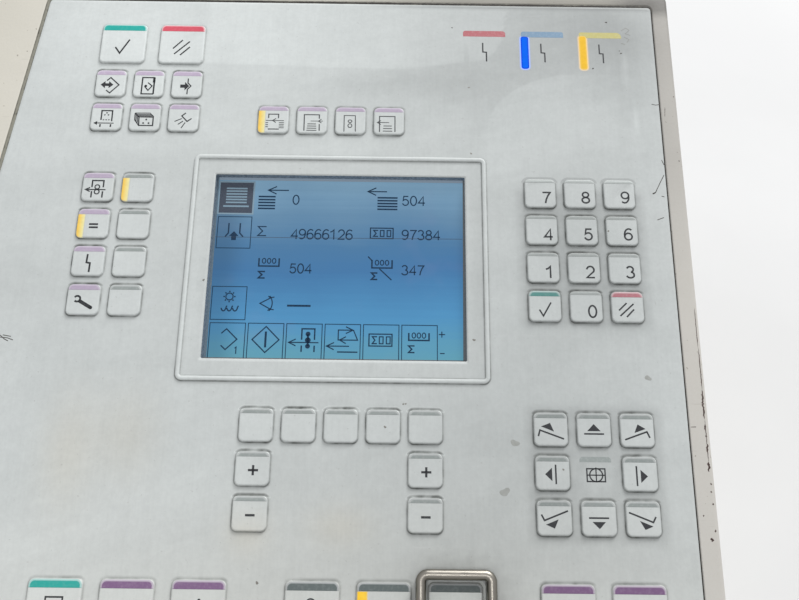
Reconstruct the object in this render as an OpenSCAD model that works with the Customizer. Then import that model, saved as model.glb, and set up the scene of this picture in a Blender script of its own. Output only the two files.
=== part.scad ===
// Operator control panel of a sheet-fed printing press.
// A wedge-shaped desk housing carries a sloping face with an embossed keypad foil,
// a recessed display and a guarded key. X runs to the operator's right, Y away from
// the operator and Z up. The origin is under the middle of the housing, on its base.
// Positions on the face are measured from the middle of the display: x to the right,
// y up the slope, z outwards from the foil's surface.

/* [Face] */
// Slope of the face above the horizontal, in degrees
face_slope = 25; // [10:1:40]
// Middle of the display to the right edge of the foil
foil_right = 166.4; // [160:0.2:190]
// Middle of the display to the top edge of the foil
foil_top = 153; // [150:0.5:180]
// Middle of the display to the bottom edge of the foil
foil_bottom = 190.6; // [186:0.2:220]
// Middle of the display to the left edge of the foil, at its top
foil_left = 162.4; // [158:0.2:190]
// Angle by which the left edge of the foil runs outwards towards the operator
side_slant = 6.5; // [0:0.5:10]
// Corner radius of the foil
foil_corner_r = 1.6; // [0.5:0.1:6]
// Thickness of the keypad foil
foil_t = 0.8; // [0.4:0.1:1.5]
// Thickness of the carrier plate under the foil
carrier_t = 3; // [2:0.5:6]

/* [Frame] */
// Width of the frame strip at the right, top and bottom of the foil
strip_w = 9.2; // [8:0.2:25]
// Width of the broad land at the left of the foil
left_land_w = 30; // [12:1:60]
// Overall thickness of the face frame
frame_t = 14; // [8:0.5:25]
// Radius of the frame's outer corners
frame_corner_r = 5; // [3.5:0.5:8]
// Rounding of the frame's upper outer edge
frame_edge_r = 2.2; // [0.5:0.1:3]
// Width of the groove between foil and frame
groove_w = 1.4; // [0.8:0.1:3]
// Depth of the seal's surface below the foil
seal_depth = 0.7; // [0.2:0.1:1.5]
// Width of the ledge that the carrier plate rests on
ledge_w = 4; // [2:0.5:6]

/* [Housing] */
// Height of the front wall
front_h = 60; // [40:1:120]
// Thickness of the sheet-metal walls
wall_t = 2.5; // [1.5:0.5:5]
// Distance by which the face frame stands out over the walls
overhang = 2; // [1:0.5:5]
// Thickness of the base plate
base_t = 5; // [3:0.5:10]

/* [Mounting] */
// Spacing of the fixing holes from left to right
bolt_x = 300; // [200:5:320]
// Spacing of the fixing holes from front to back
bolt_y = 220; // [120:5:250]
// Diameter of the fixing holes
bolt_d = 9; // [6:0.5:14]
// Diameter of the cable hole in the base plate
cable_hole_d = 60; // [30:1:90]
// Width of the service cover at the back
cover_w = 240; // [120:5:280]
// Height of the service cover at the back
cover_h = 120; // [60:5:130]
// Thickness of the service cover
cover_t = 2; // [1:0.5:4]
// Margin by which the cover overlaps its opening
cover_lap = 10; // [8:1:20]
// Thread diameter of the cover's screws
screw_d = 4; // [3:0.5:5]

/* [Display] */
// Width of the display window
window_w = 126.4; // [110:0.2:132]
// Height of the display window
window_h = 96.8; // [80:0.2:102]
// Corner radius of the display window
window_r = 1; // [0.5:0.1:4]
// Thickness of the display glass
glass_t = 2; // [1:0.5:4]
// Margin by which the glass reaches under the carrier plate
glass_lap = 4; // [2:0.5:8]
// Width of the raised bead round the display
bead_w = 2.8; // [2:0.1:4]
// Outer width of the raised bead round the display
bead_outer_w = 150.2; // [142:0.2:156]
// Outer height of the raised bead round the display
bead_outer_h = 119.6; // [112:0.2:126]
// Outer corner radius of the raised bead
bead_r = 4.4; // [4.2:0.1:8]
// Depth of the display module behind the glass
module_t = 18; // [8:1:40]

/* [Keys] */
// Side of a small key
key_w = 16.6; // [14:0.1:18]
// Pitch of the small keys
key_pitch = 20; // [18.6:0.1:21]
// Side of a large key
big_key_w = 24.6; // [20:0.1:27]
// Pitch of the large keys
big_pitch = 31.3; // [28:0.1:32]
// Pitch of the keys under the display
screen_pitch = 19.6; // [18.6:0.1:21]
// Height of the embossed keys above the foil
key_h = 1.1; // [0.5:0.1:2]
// Slope of the keys' walls, as the run from foot to top
key_draft = 0.7; // [0.2:0.1:1.2]
// Corner radius of the keys at their foot
key_r = 2.8; // [2:0.1:4]
// Width of a light bar
lamp_w = 3; // [1.5:0.1:4]
// Thickness of a light bar's lens
lamp_t = 0.5; // [0.2:0.1:0.8]

/* [Guard] */
// Clear space between the guarded key and its collar
guard_gap = 1; // [0.8:0.1:1.8]
// Width of the collar's bar
guard_w = 4.5; // [3.6:0.1:4.9]
// Outer corner radius of the collar
guard_r = 5.2; // [5:0.1:8]
// Height of the collar above the foil
guard_h = 8; // [4:0.5:12]

/* [Hidden] */
$fn = 48;

// Middles of the key groups on the face: those beside an edge keep to that edge
number_pad = [foil_right - 45.1, 9.4];
direction_pad = [foil_right - 44.9, -100.6];
function_block = [-foil_left + 50.3, 9.7];
program_block = [-foil_left + 59.9, foil_top - 63.2];
infeed_row = [-5.8, 79.5];
top_pair = [-foil_left + 59.6, foil_top - 28.6];
screen_row = [4.3, -80.2];
step_pair = [4.1, -110.2];
step_span = 78.8;
status_row = [foil_right - 60.4, foil_top - 19];
bottom_row_y = -foil_bottom + 29.8;
left_run_x = -foil_left + 75.8;
drive_run_x = 25.5;
right_run_x = foil_right - 44.6;

// Size of a status light: its printed bar and the lens at its left end
status_w = 22.8;
status_lamp_w = 3.6;
status_lamp_h = 20;
// Step from the edge of a key's level top to its light bar
lamp_inset = 0.3;
// Wall of the display module round the glass
module_wall = 4;
// Corner radius of the service cover
cover_r = 6;
// Height of the cover's lower edge over the base plate
cover_lift = 12;
// Heads, sockets and length of the cover's screws, from their thread diameter
screw_head = [1.9 * screw_d, 0.6 * screw_d];
screw_socket = [0.7 * screw_d, 0.35 * screw_d];
screw_clearance = 0.4;
screw_past = 3;
// Distance of the cable hole behind the middle of the housing
cable_y = 60;

// Outline of the foil, clockwise from its top right corner
slant_run = (foil_top + foil_bottom) * tan(side_slant);
foil_pts = [
    [foil_right, foil_top],
    [foil_right, -foil_bottom],
    [-foil_left - slant_run, -foil_bottom],
    [-foil_left, foil_top]
];

// Outward unit normal of the side that starts at corner i of a clockwise outline
function side_normal(pts, i) =
    let (d = pts[(i + 1) % len(pts)] - pts[i], l = norm(d))
    [-d[1], d[0]] / l;

// Corner i of an outline whose sides have moved outwards by the distances in d
function moved_corner(pts, d, i) =
    let (
        last = (i + len(pts) - 1) % len(pts),
        a = side_normal(pts, last),
        b = side_normal(pts, i),
        c = a * b
    )
    pts[i] + ((d[last] - d[i] * c) * a + (d[i] - d[last] * c) * b) / (1 - c * c);

// An outline with each side moved outwards by its own distance
function grown(pts, d) = [for (i = [0:len(pts) - 1]) moved_corner(pts, d, i)];

// An outline with every side moved outwards by the same distance
function grown_all(pts, d) = grown(pts, [for (p = pts) d]);

// Outline of the frame: right strip, bottom strip, left land, top strip
frame_pts = grown(foil_pts, [strip_w, strip_w, left_land_w * cos(side_slant), strip_w]);
frame_right = frame_pts[0][0];
frame_top = frame_pts[0][1];
frame_bottom = frame_pts[1][1];
stack_t = foil_t + carrier_t;

// Furthest points of the rounded frame to the left, the front and the back
left_end = grown_all(frame_pts, -frame_corner_r)[2][0] - frame_corner_r;
front_end = (frame_bottom + frame_edge_r) * cos(face_slope)
    + frame_edge_r * sin(face_slope) - frame_edge_r;
back_end = frame_top * cos(face_slope) + frame_t * sin(face_slope);

// Place of the face's own origin in the housing
face_x = -(left_end + frame_right) / 2;
face_y = -(front_end + back_end) / 2;
face_z = front_h - frame_bottom * sin(face_slope) + frame_t * cos(face_slope);

// Outline of the walls seen from above, clockwise from the back right corner
wall_shift = frame_t * sin(face_slope);
wall_pts = grown(
    [for (p = frame_pts) [p[0] + face_x, p[1] * cos(face_slope) + face_y]],
    [-overhang, -overhang - wall_shift, -overhang, wall_shift - overhang]
);
housing_h = face_z + frame_top * sin(face_slope);

back_y = wall_pts[0][1];
cover_z = base_t + cover_lift + cover_h / 2;
cover_opening = [cover_w - 2 * cover_lap, cover_h - 2 * cover_lap];

// Places of the cover's screws in the lap all round, three along each long side
screw_places = [
    for (x = [-1, 0, 1], y = [-1, 1])
        [x * (cover_w - cover_lap) / 2, y * (cover_h - cover_lap) / 2]
];

// Keys with a light bar, as column and row in their group
infeed_lit = [[0, 0]];
function_lit = [[0, 1]];
side_soft_lit = [[0, 0]];
drive_lit = [[1, 0]];
guard_place = [drive_run_x + big_pitch, bottom_row_y, 0];

// Everything on the face is drawn flat and tipped up to the slope
module on_face() {
    translate([face_x, face_y, face_z]) rotate([face_slope, 0, 0]) children();
}

// Plate between two heights with round corners: a straight-sided prism whose
// corners are filled out by cylinders
module rounded_plate(pts, r, z0, z1) {
    inner = grown_all(pts, -r);
    n = len(pts);
    translate([0, 0, z0]) {
        linear_extrude(height = z1 - z0) polygon([
            for (i = [0:n - 1], side = [i + n - 1, i])
                inner[i] + r * side_normal(pts, side % n)
        ]);
        for (p = inner) translate(p) cylinder(h = z1 - z0, r = r);
    }
}

// Corners of a rectangle centred on the origin, clockwise from the top right
function rectangle(w, h) =
    [[w / 2, h / 2], [w / 2, -h / 2], [-w / 2, -h / 2], [-w / 2, h / 2]];

// Plate between two heights with sharp corners
module sharp_plate(pts, z0, z1) {
    translate([0, 0, z0]) linear_extrude(height = z1 - z0) polygon(pts);
}

// Section carried round a rounded rectangle: x of the section is the distance
// outwards from the rectangle, and y is the height
module swept_frame(w, h, r) {
    for (turn = [0:3]) {
        long = turn % 2 == 0 ? w : h;
        wide = turn % 2 == 0 ? h : w;
        rotate([0, 0, -90 * turn]) {
            translate([0, wide / 2, 0]) rotate([90, 0, 90])
                linear_extrude(height = long - 2 * r, center = true) children();
            translate([long / 2 - r, wide / 2 - r, 0])
                rotate_extrude(angle = 90) translate([r, 0]) children();
        }
    }
}

// Space under the underside of the face frame
module under_frame() {
    on_face() translate([-400, -600, -frame_t - 800]) cube([800, 1200, 800]);
}

// Upright wall on side i of the housing: a strip between the outer and the inner
// outline, mitred at the corners and cut to the slope
module wall(i) {
    inner = grown_all(wall_pts, -wall_t);
    j = (i + 1) % len(wall_pts);
    intersection() {
        sharp_plate([wall_pts[i], wall_pts[j], inner[j], inner[i]], base_t, housing_h);
        under_frame();
    }
}

module base_plate() {
    color("gray") difference() {
        sharp_plate(wall_pts, 0, base_t);
        for (x = [-1, 1], y = [-1, 1])
            translate([x * bolt_x / 2, y * bolt_y / 2, -1]) cylinder(h = base_t + 2, d = bolt_d);
        translate([0, cable_y, -1]) cylinder(h = base_t + 2, d = cable_hole_d);
    }
}

module front_wall() {
    color("antiquewhite") wall(1);
}

module back_wall() {
    color("antiquewhite") difference() {
        wall(3);
        translate([0, back_y - wall_t / 2, cover_z])
            cube([cover_opening[0], wall_t + 2, cover_opening[1]], center = true);
        screw_holes();
    }
}

module left_wall() {
    color("antiquewhite") wall(2);
}

module right_wall() {
    color("antiquewhite") wall(0);
}

module rear_cover() {
    color("antiquewhite") difference() {
        on_back() rounded_plate(rectangle(cover_w, cover_h), cover_r, 0, cover_t);
        screw_holes();
    }
}

// Drawn flat with z outwards, and set upright on the back wall at the cover's middle
module on_back() {
    translate([0, back_y, cover_z]) rotate([-90, 0, 0]) children();
}

module screw_holes() {
    on_back() for (p = screw_places) translate([p[0], p[1], -wall_t - 1])
        cylinder(h = wall_t + cover_t + 2, d = screw_d + screw_clearance);
}

// Screws with a six-sided socket: the heads rest on the cover
module cover_screws() {
    color("silver") on_back() for (p = screw_places) translate([p[0], p[1], cover_t])
        difference() {
            union() {
                cylinder(h = screw_head[1], d = screw_head[0]);
                translate([0, 0, -cover_t - wall_t - screw_past])
                    cylinder(h = cover_t + wall_t + screw_past + 1, d = screw_d);
            }
            translate([0, 0, screw_head[1] - screw_socket[1]])
                cylinder(h = screw_head[1], d = screw_socket[0], $fn = 6);
        }
}

// Cast rim that holds the panel: its upper outer edge is rounded, and the panel
// drops into a recess with a ledge all round
module face_frame() {
    steps = 5;
    color("antiquewhite") on_face() difference() {
        hull() {
            rounded_plate(frame_pts, frame_corner_r, -frame_t, -frame_edge_r);
            for (i = [1:steps]) {
                inward = frame_edge_r * (1 - cos(90 * i / steps));
                top = -frame_edge_r * (1 - sin(90 * i / steps));
                rounded_plate(grown_all(frame_pts, -inward), frame_corner_r - inward,
                    top - frame_edge_r / 2, top);
            }
        }
        rounded_plate(grown_all(foil_pts, groove_w), foil_corner_r + groove_w, -stack_t, 1);
        sharp_plate(grown_all(foil_pts, -ledge_w), -frame_t - 1, 1);
    }
}

// Dark strip in the groove between the panel and its frame
module frame_seal() {
    color("dimgray") on_face() difference() {
        rounded_plate(grown_all(foil_pts, groove_w), foil_corner_r + groove_w,
            -stack_t, -seal_depth);
        rounded_plate(foil_pts, foil_corner_r, -stack_t - 1, 1);
    }
}

module panel_layer(z0, z1) {
    difference() {
        rounded_plate(foil_pts, foil_corner_r, z0, z1);
        rounded_plate(rectangle(window_w, window_h), window_r, z0 - 1, z1 + 1);
    }
}

module carrier_plate() {
    color("silver") on_face() panel_layer(-stack_t, -foil_t);
}

module keypad_foil() {
    color("lightgray") on_face() panel_layer(-foil_t, 0);
}

// Half-round bead pressed up from the foil round the display
module display_bead() {
    path_w = bead_outer_w - bead_w;
    path_h = bead_outer_h - bead_w;
    color("lightgray") on_face() swept_frame(path_w, path_h, bead_r - bead_w / 2)
        intersection() {
            circle(bead_w / 2);
            translate([-bead_w, 0]) square([2 * bead_w, bead_w]);
        }
}

module display_glass() {
    color("steelblue") on_face() translate([0, 0, -stack_t - glass_t / 2])
        cube([window_w + 2 * glass_lap, window_h + 2 * glass_lap, glass_t], center = true);
}

// Box behind the display, with the glass let into its front
module display_module() {
    outer = [window_w + 2 * glass_lap + 2 * module_wall, window_h + 2 * glass_lap + 2 * module_wall];
    color("darkslategray") on_face() difference() {
        translate([0, 0, -stack_t - module_t / 2]) cube([outer[0], outer[1], module_t], center = true);
        translate([0, 0, -stack_t])
            cube([window_w + 2 * glass_lap, window_h + 2 * glass_lap, 2 * glass_t], center = true);
    }
}

// One embossed key: sloping walls between four cones at its corners
module key_block(w, h) {
    for (x = [-1, 1], y = [-1, 1])
        translate([x * (w / 2 - key_r), y * (h / 2 - key_r), 0])
            cylinder(h = key_h, r1 = key_r, r2 = key_r - key_draft);
    sloped_bar(w, h - 2 * key_r);
    rotate([0, 0, 90]) sloped_bar(h, w - 2 * key_r);
}

// Straight bar along y with a level top and both long sides sloping
module sloped_bar(w, l) {
    rotate([90, 0, 0]) linear_extrude(height = l, center = true) polygon([
        [-w / 2, 0], [w / 2, 0],
        [w / 2 - key_draft, key_h], [key_draft - w / 2, key_h]
    ]);
}

// Place of the light bar in a key with sides w
function lamp_place(w) = [-w / 2 + key_draft + lamp_inset + lamp_w / 2, 0, key_h];

// Length of the light bar in a key with sides w
function lamp_length(w) = w - 2 * key_r;

// Pocket or lens of a key's light bar
module lamp_bar(w, extra) {
    translate(lamp_place(w)) translate([0, 0, -lamp_t / 2 + extra / 2])
        cube([lamp_w, lamp_length(w), lamp_t + extra], center = true);
}

// Keys on a grid: columns from left to right, rows from the top down, about a
// middle; places listed as lit have the pocket for a light bar
module key_grid(middle, columns, rows, pitch, w, lit = []) {
    for (c = [0:columns - 1], r = [0:rows - 1])
        translate(grid_place(middle, columns, rows, pitch, c, r)) difference() {
            key_block(w, w);
            if (listed(lit, [c, r])) lamp_bar(w, 1);
        }
}

// Whether a place is in a list of places
function listed(places, p) = len([for (q = places) if (q == p) q]) > 0;

// Place of the key in column c and row r of such a grid
function grid_place(middle, columns, rows, pitch, c, r) = [
    middle[0] + (c - (columns - 1) / 2) * pitch,
    middle[1] - (r - (rows - 1) / 2) * pitch,
    0
];

module confirm_key() {
    color("lightgray") on_face() translate([top_pair[0] - big_pitch / 2, top_pair[1], 0])
        key_block(big_key_w, big_key_w);
}

module cancel_key() {
    color("lightgray") on_face() translate([top_pair[0] + big_pitch / 2, top_pair[1], 0])
        key_block(big_key_w, big_key_w);
}

module program_keys() {
    color("lightgray") on_face() key_grid(program_block, 3, 2, key_pitch, key_w);
}

module infeed_keys() {
    color("lightgray") on_face() key_grid(infeed_row, 4, 1, key_pitch, key_w, infeed_lit);
}

module function_keys() {
    color("lightgray") on_face() translate([-key_pitch / 2, 0, 0])
        key_grid(function_block, 1, 4, key_pitch, key_w, function_lit);
}

module side_soft_keys() {
    color("lightgray") on_face() translate([key_pitch / 2, 0, 0])
        key_grid(function_block, 1, 4, key_pitch, key_w, side_soft_lit);
}

// The ten figure keys: three rows of three, and one below their middle
module number_keys() {
    color("lightgray") on_face() {
        translate([0, key_pitch / 2, 0]) key_grid(number_pad, 3, 3, key_pitch, key_w);
        translate(grid_place(number_pad, 3, 4, key_pitch, 1, 3)) key_block(key_w, key_w);
    }
}

module number_confirm_key() {
    color("lightgray") on_face() translate(grid_place(number_pad, 3, 4, key_pitch, 0, 3))
        key_block(key_w, key_w);
}

module number_cancel_key() {
    color("lightgray") on_face() translate(grid_place(number_pad, 3, 4, key_pitch, 2, 3))
        key_block(key_w, key_w);
}

module screen_keys() {
    color("lightgray") on_face() key_grid(screen_row, 5, 1, screen_pitch, key_w);
}

module plus_keys() {
    color("lightgray") on_face() translate([0, key_pitch / 2, 0])
        key_grid(step_pair, 2, 1, step_span, key_w);
}

module minus_keys() {
    color("lightgray") on_face() translate([0, -key_pitch / 2, 0])
        key_grid(step_pair, 2, 1, step_span, key_w);
}

// Eight keys round a flat printed middle
module direction_keys() {
    color("lightgray") on_face() for (c = [0:2], r = [0:2])
        if (c != 1 || r != 1)
            translate(grid_place(direction_pad, 3, 3, key_pitch, c, r)) key_block(key_w, key_w);
}

module left_run_keys() {
    color("lightgray") on_face()
        key_grid([left_run_x, bottom_row_y], 3, 1, big_pitch, big_key_w);
}

module drive_keys() {
    color("lightgray") on_face() translate([-big_pitch / 2, 0, 0])
        key_grid([drive_run_x, bottom_row_y], 2, 1, big_pitch, big_key_w, drive_lit);
}

module guarded_key() {
    color("lightgray") on_face() translate(guard_place) key_block(big_key_w, big_key_w);
}

// Collar of round-topped bar that keeps a sleeve from pressing the key by accident
module guard_collar() {
    path = big_key_w + 2 * guard_gap + guard_w;
    color("gainsboro") on_face() translate(guard_place)
        swept_frame(path, path, guard_r - guard_w / 2) {
            translate([-guard_w / 2, 0]) square([guard_w, guard_h - guard_w / 2]);
            translate([0, guard_h - guard_w / 2]) circle(guard_w / 2);
        }
}

module right_run_keys() {
    color("lightgray") on_face()
        key_grid([right_run_x, bottom_row_y], 2, 1, big_pitch, big_key_w);
}

// Lenses of the light bars, each let into the top of its key
module key_lamps() {
    color("gold") on_face() {
        translate(grid_place(infeed_row, 4, 1, key_pitch, 0, 0)) lamp_bar(key_w, 0);
        translate([-key_pitch / 2, 0, 0])
            translate(grid_place(function_block, 1, 4, key_pitch, 0, 1)) lamp_bar(key_w, 0);
        translate([key_pitch / 2, 0, 0])
            translate(grid_place(function_block, 1, 4, key_pitch, 0, 0)) lamp_bar(key_w, 0);
        translate([-big_pitch / 2, 0, 0])
            translate(grid_place([drive_run_x, bottom_row_y], 2, 1, big_pitch, 1, 0))
                lamp_bar(big_key_w, 0);
    }
}

// Lens of the status light in column c, standing on the foil
module status_lamp(c) {
    left = status_row[0] + (c - 1) * big_pitch - status_w / 2;
    on_face() translate([left, status_row[1] - status_lamp_h, 0])
        cube([status_lamp_w, status_lamp_h, lamp_t]);
}

module red_status_lamp() { color("indianred") status_lamp(0); }
module blue_status_lamp() { color("royalblue") status_lamp(1); }
module yellow_status_lamp() { color("gold") status_lamp(2); }

base_plate();
front_wall();
back_wall();
left_wall();
right_wall();
rear_cover();
cover_screws();
face_frame();
frame_seal();
carrier_plate();
keypad_foil();
display_module();
display_glass();
display_bead();
confirm_key();
cancel_key();
program_keys();
infeed_keys();
function_keys();
side_soft_keys();
number_keys();
number_confirm_key();
number_cancel_key();
screen_keys();
plus_keys();
minus_keys();
direction_keys();
left_run_keys();
drive_keys();
guarded_key();
guard_collar();
right_run_keys();
key_lamps();
red_status_lamp();
blue_status_lamp();
yellow_status_lamp();
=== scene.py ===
"""Looks of a printing press's operator panel: foil, keys, prints, screen and housing.

Drawings are in millimetres on the sloping face: x to the operator's right, y up the
slope, z outwards from the foil, all from the middle of the display. on_face turns
them into metres of the model. Every surface is worked out as whole arrays.
"""
import math

import bpy
import numpy as np
from mathutils import Matrix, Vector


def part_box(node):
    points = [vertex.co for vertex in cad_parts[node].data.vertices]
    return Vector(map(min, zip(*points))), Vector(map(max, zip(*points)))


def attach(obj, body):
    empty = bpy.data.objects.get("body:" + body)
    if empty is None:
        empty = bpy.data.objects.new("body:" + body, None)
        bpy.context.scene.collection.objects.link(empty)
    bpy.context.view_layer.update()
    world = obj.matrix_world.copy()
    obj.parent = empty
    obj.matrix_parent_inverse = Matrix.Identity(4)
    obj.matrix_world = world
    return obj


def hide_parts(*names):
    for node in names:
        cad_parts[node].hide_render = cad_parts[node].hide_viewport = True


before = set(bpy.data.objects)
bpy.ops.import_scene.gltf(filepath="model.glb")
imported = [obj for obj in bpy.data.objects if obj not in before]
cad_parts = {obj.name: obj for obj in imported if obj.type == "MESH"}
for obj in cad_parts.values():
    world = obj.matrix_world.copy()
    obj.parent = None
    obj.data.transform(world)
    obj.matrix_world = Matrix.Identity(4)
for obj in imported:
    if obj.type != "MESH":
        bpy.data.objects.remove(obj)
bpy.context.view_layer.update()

# ---------------------------------------------------------------- sizes, in millimetres
MM = 0.001
# The face: its slope, its middle in the model and its three axes
FACE_SLOPE = math.radians(25)
FACE_ORIGIN = np.array([28.1972, 13.7184, 157.127])
RIGHTWARD = np.array([1.0, 0.0, 0.0])
UPWARD = np.array([0.0, math.cos(FACE_SLOPE), math.sin(FACE_SLOPE)])
OUTWARD = np.array([0.0, -math.sin(FACE_SLOPE), math.cos(FACE_SLOPE)])
FACE_AXES = np.array([RIGHTWARD, UPWARD, OUTWARD])

# Foil, groove and rim. Right and left are the lines that the rim is measured from; the
# foil's right edge lies a little further in at its high and low ends, and so does its left
FOIL_RIGHT = 166.4
FOIL_RIGHT_HIGH = 165.95
FOIL_RIGHT_LOW = 165.25
FOIL_TOP_DIP = 0.3
FOIL_TOP = 152.5
FOIL_BOTTOM = 190.6
FOIL_LEFT = 162.4
FOIL_CORNER = 1.6
FOIL_THICKNESS = 0.8
SIDE_SLANT = math.radians(6.5)
FOIL_LEFT_IN = 1.1
STRIP_WIDTH = 9.2
LAND_WIDTH = 30.0
RIM_TOP = 162.2
RIM_RIGHT = FOIL_RIGHT + STRIP_WIDTH
RIM_LAND = LAND_WIDTH + 0.5 * math.tan(SIDE_SLANT)
RIM_DEPTH = 14.0
RIM_CORNER = 5.0
RIM_EDGE = 2.2
GROOVE_WIDTH = 1.4
RIGHT_GROOVE = 0.70
LEFT_GROOVE = 1.90
STACK_DEPTH = 3.8
LEDGE_WIDTH = 4.0

# Housing
BASE_THICKNESS = 5.0
WALL_THICKNESS = 2.5
WALL_BEND = 4.0
OVERHANG = 2.0
COVER_SIZE = (240.0, 120.0)
COVER_THICKNESS = 2.0
COVER_MIDDLE_Z = 77.0
COVER_CORNER = 6.0

# Keys
KEY_SIDE = 16.25
BIG_KEY_SIDE = 24.25
KEY_SHIFT = (-0.15, 0.2)
KEY_PITCH = 20.0
BIG_PITCH = 31.3
SCREEN_PITCH = 19.6
STEP_SPAN = 78.8
KEY_CORNER = 2.8
KEY_HEIGHT = 1.1
GLASS_LEVEL = -3.8

# Screen window, the bead round it, and the collar
WINDOW_LOW = (-63.4, -48.4)
WINDOW_HIGH = (63.1, 48.3)
WINDOW_CORNER = 0.6
BEAD_SIZE = (149.1, 118.8)
BEAD_MIDDLE = (-0.4, 0.0)
BEAD_WIDTH = 2.45
BEAD_CORNER = 3.4
GUARD_GAP = 1.0
GUARD_WIDTH = 4.5
GUARD_CORNER = 5.2
GUARD_HEIGHT = 8.0

# Middles of the groups of keys
NUMBER_PAD = (121.3, 9.4)
DIRECTION_PAD = (121.5, -100.6)
FUNCTION_BLOCK = (-112.1, 9.7)
PROGRAM_BLOCK = (-102.5, 89.8)
INFEED_ROW = (-5.8, 79.5)
TOP_PAIR = (-102.8, 124.4)
SCREEN_ROW = (4.3, -80.2)
STEP_PAIR = (4.1, -110.2)
STATUS_ROW = (106.0, 134.3)
BOTTOM_Y = -160.8
LEFT_RUN_X = -86.6
DRIVE_RUN_X = 25.5
RIGHT_RUN_X = 121.8

# Prints, and limits for outlines and strokes
PEN = 0.74
INK_LIFT = 0.03
LEAST_RADIUS = 0.25
SHARPEST_BEND = 0.35
TINY = 1e-9


# ---------------------------------------------------------------- places and outlines
def on_face(points):
    """Face millimetres to model metres: origin + x right + y up the slope + z outwards."""
    return MM * (FACE_ORIGIN + points @ FACE_AXES)


def upright(points):
    """Model millimetres to model metres."""
    return MM * points


def grid_places(middle, columns, rows, pitch):
    """Middles of a grid of keys, row by row from the top left, as an array of pairs."""
    x = middle[0] + (np.arange(columns) - (columns - 1) / 2) * pitch
    y = middle[1] - (np.arange(rows) - (rows - 1) / 2) * pitch
    return np.stack(np.meshgrid(x, y), axis=-1).reshape(-1, 2)


def rectangle(width, height, middle=(0.0, 0.0)):
    """Corners of a rectangle, counterclockwise from the lower right."""
    signs = np.array([[1, -1], [1, 1], [-1, 1], [-1, -1]])
    return signs * np.array([width, height]) / 2 + np.array(middle)


def outline(corners, radius, offset, corner_points, side_points):
    """Points counterclockwise round a convex polygon whose sides have moved outwards.

    Each corner is an arc about the point that lies r inside both moved sides, with r
    the corner radius plus the offset; evenly spaced points join one arc to the next.
    """
    corners = np.asarray(corners, float)
    sides = np.roll(corners, -1, axis=0) - corners
    after = np.stack([sides[:, 1], -sides[:, 0]], axis=1)
    after /= np.linalg.norm(after, axis=1, keepdims=True)
    before = np.roll(after, 1, axis=0)
    r = max(radius + offset, LEAST_RADIUS)
    bisector = (before + after) / (1 + (before * after).sum(axis=1))[:, None]
    centres = corners - (r - offset) * bisector
    start = np.arctan2(before[:, 1], before[:, 0])
    sweep = np.mod(np.arctan2(after[:, 1], after[:, 0]) - start, 2 * np.pi)
    angles = start[:, None] + sweep[:, None] * np.linspace(0, 1, corner_points)
    arcs = centres[:, None] + r * np.stack([np.cos(angles), np.sin(angles)], axis=2)
    step = np.linspace(0, 1, side_points + 2)[1:-1, None]
    gap = np.roll(arcs[:, :1], -1, axis=0) - arcs[:, -1:]
    return np.concatenate([arcs, arcs[:, -1:] + step * gap], axis=1).reshape(-1, 2)


def left_edge(y, outwards):
    """x at height y of a line that far outside the foil's slanted left edge."""
    return -FOIL_LEFT - outwards - (FOIL_TOP - y) * math.tan(SIDE_SLANT)


def foil_corners():
    """Corners of the foil, counterclockwise from the lower right."""
    return np.array([
        [FOIL_RIGHT_LOW, -FOIL_BOTTOM],
        [FOIL_RIGHT_HIGH, FOIL_TOP],
        [left_edge(FOIL_TOP, -FOIL_LEFT_IN), FOIL_TOP - FOIL_TOP_DIP],
        [left_edge(-FOIL_BOTTOM, -FOIL_LEFT_IN), -FOIL_BOTTOM],
    ])


def groove_corners():
    """Corners of the groove's outer side: narrow at the right, wide at the left."""
    corners = foil_corners()
    apart = np.array([[RIGHT_GROOVE, -GROOVE_WIDTH], [RIGHT_GROOVE, GROOVE_WIDTH],
                      [-LEFT_GROOVE, GROOVE_WIDTH], [-LEFT_GROOVE, -GROOVE_WIDTH]])
    return corners + apart


def rim_corners():
    """Corners of the frame: the foil's place moved out by the strips and the land."""
    bottom = -FOIL_BOTTOM - STRIP_WIDTH
    return np.array([
        [RIM_RIGHT, bottom],
        [RIM_RIGHT, RIM_TOP],
        [left_edge(RIM_TOP, RIM_LAND), RIM_TOP],
        [left_edge(bottom, RIM_LAND), bottom],
    ])


# ---------------------------------------------------------------- surfaces
def grid_surface(points, closed=False):
    """Quads between neighbours on a grid of points, of rows by columns.

    A face looks along (next column) x (next row). A closed grid joins its last
    column to its first.
    """
    rows, columns = points.shape[:2]
    index = np.arange(rows * columns).reshape(rows, columns)
    if closed:
        index = np.concatenate([index, index[:, :1]], axis=1)
    quads = np.stack([index[:-1, :-1], index[:-1, 1:], index[1:, 1:], index[1:, :-1]], axis=2)
    return points.reshape(-1, 3), [quads.reshape(-1, 4)]


def at_heights(rings, heights):
    """Flat outlines as a grid of points, one row for each outline at its own height."""
    levels = np.broadcast_to(np.array(heights, float)[:, None, None], (len(rings), len(rings[0]), 1))
    return np.concatenate([np.array(rings), levels], axis=2)


def ring_stack(rings, heights, top=False, bottom=False):
    """Closed outlines carried through their heights, one row of the grid for each.

    The rows run upwards or inwards, so that the faces look outwards; top and bottom
    close the last and the first row with one flat face.
    """
    points, faces = grid_surface(at_heights(rings, heights), closed=True)
    count = len(rings[0])
    if top:
        faces.append(np.arange(len(points) - count, len(points))[None])
    if bottom:
        faces.append(np.arange(count)[::-1][None])
    return points, faces


def wrapped_surface(points):
    """Quads over a grid of points that is closed both ways round, like a tyre."""
    surface = np.concatenate([points, points[:1]])
    places, faces = grid_surface(surface, closed=True)
    count = points.shape[0] * points.shape[1]
    return places[:count], [np.where(block >= count, block - count, block) for block in faces]


def torus_stack(rings, heights):
    """Closed outlines carried through their heights and back to the first one."""
    return wrapped_surface(at_heights(rings, heights))


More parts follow.
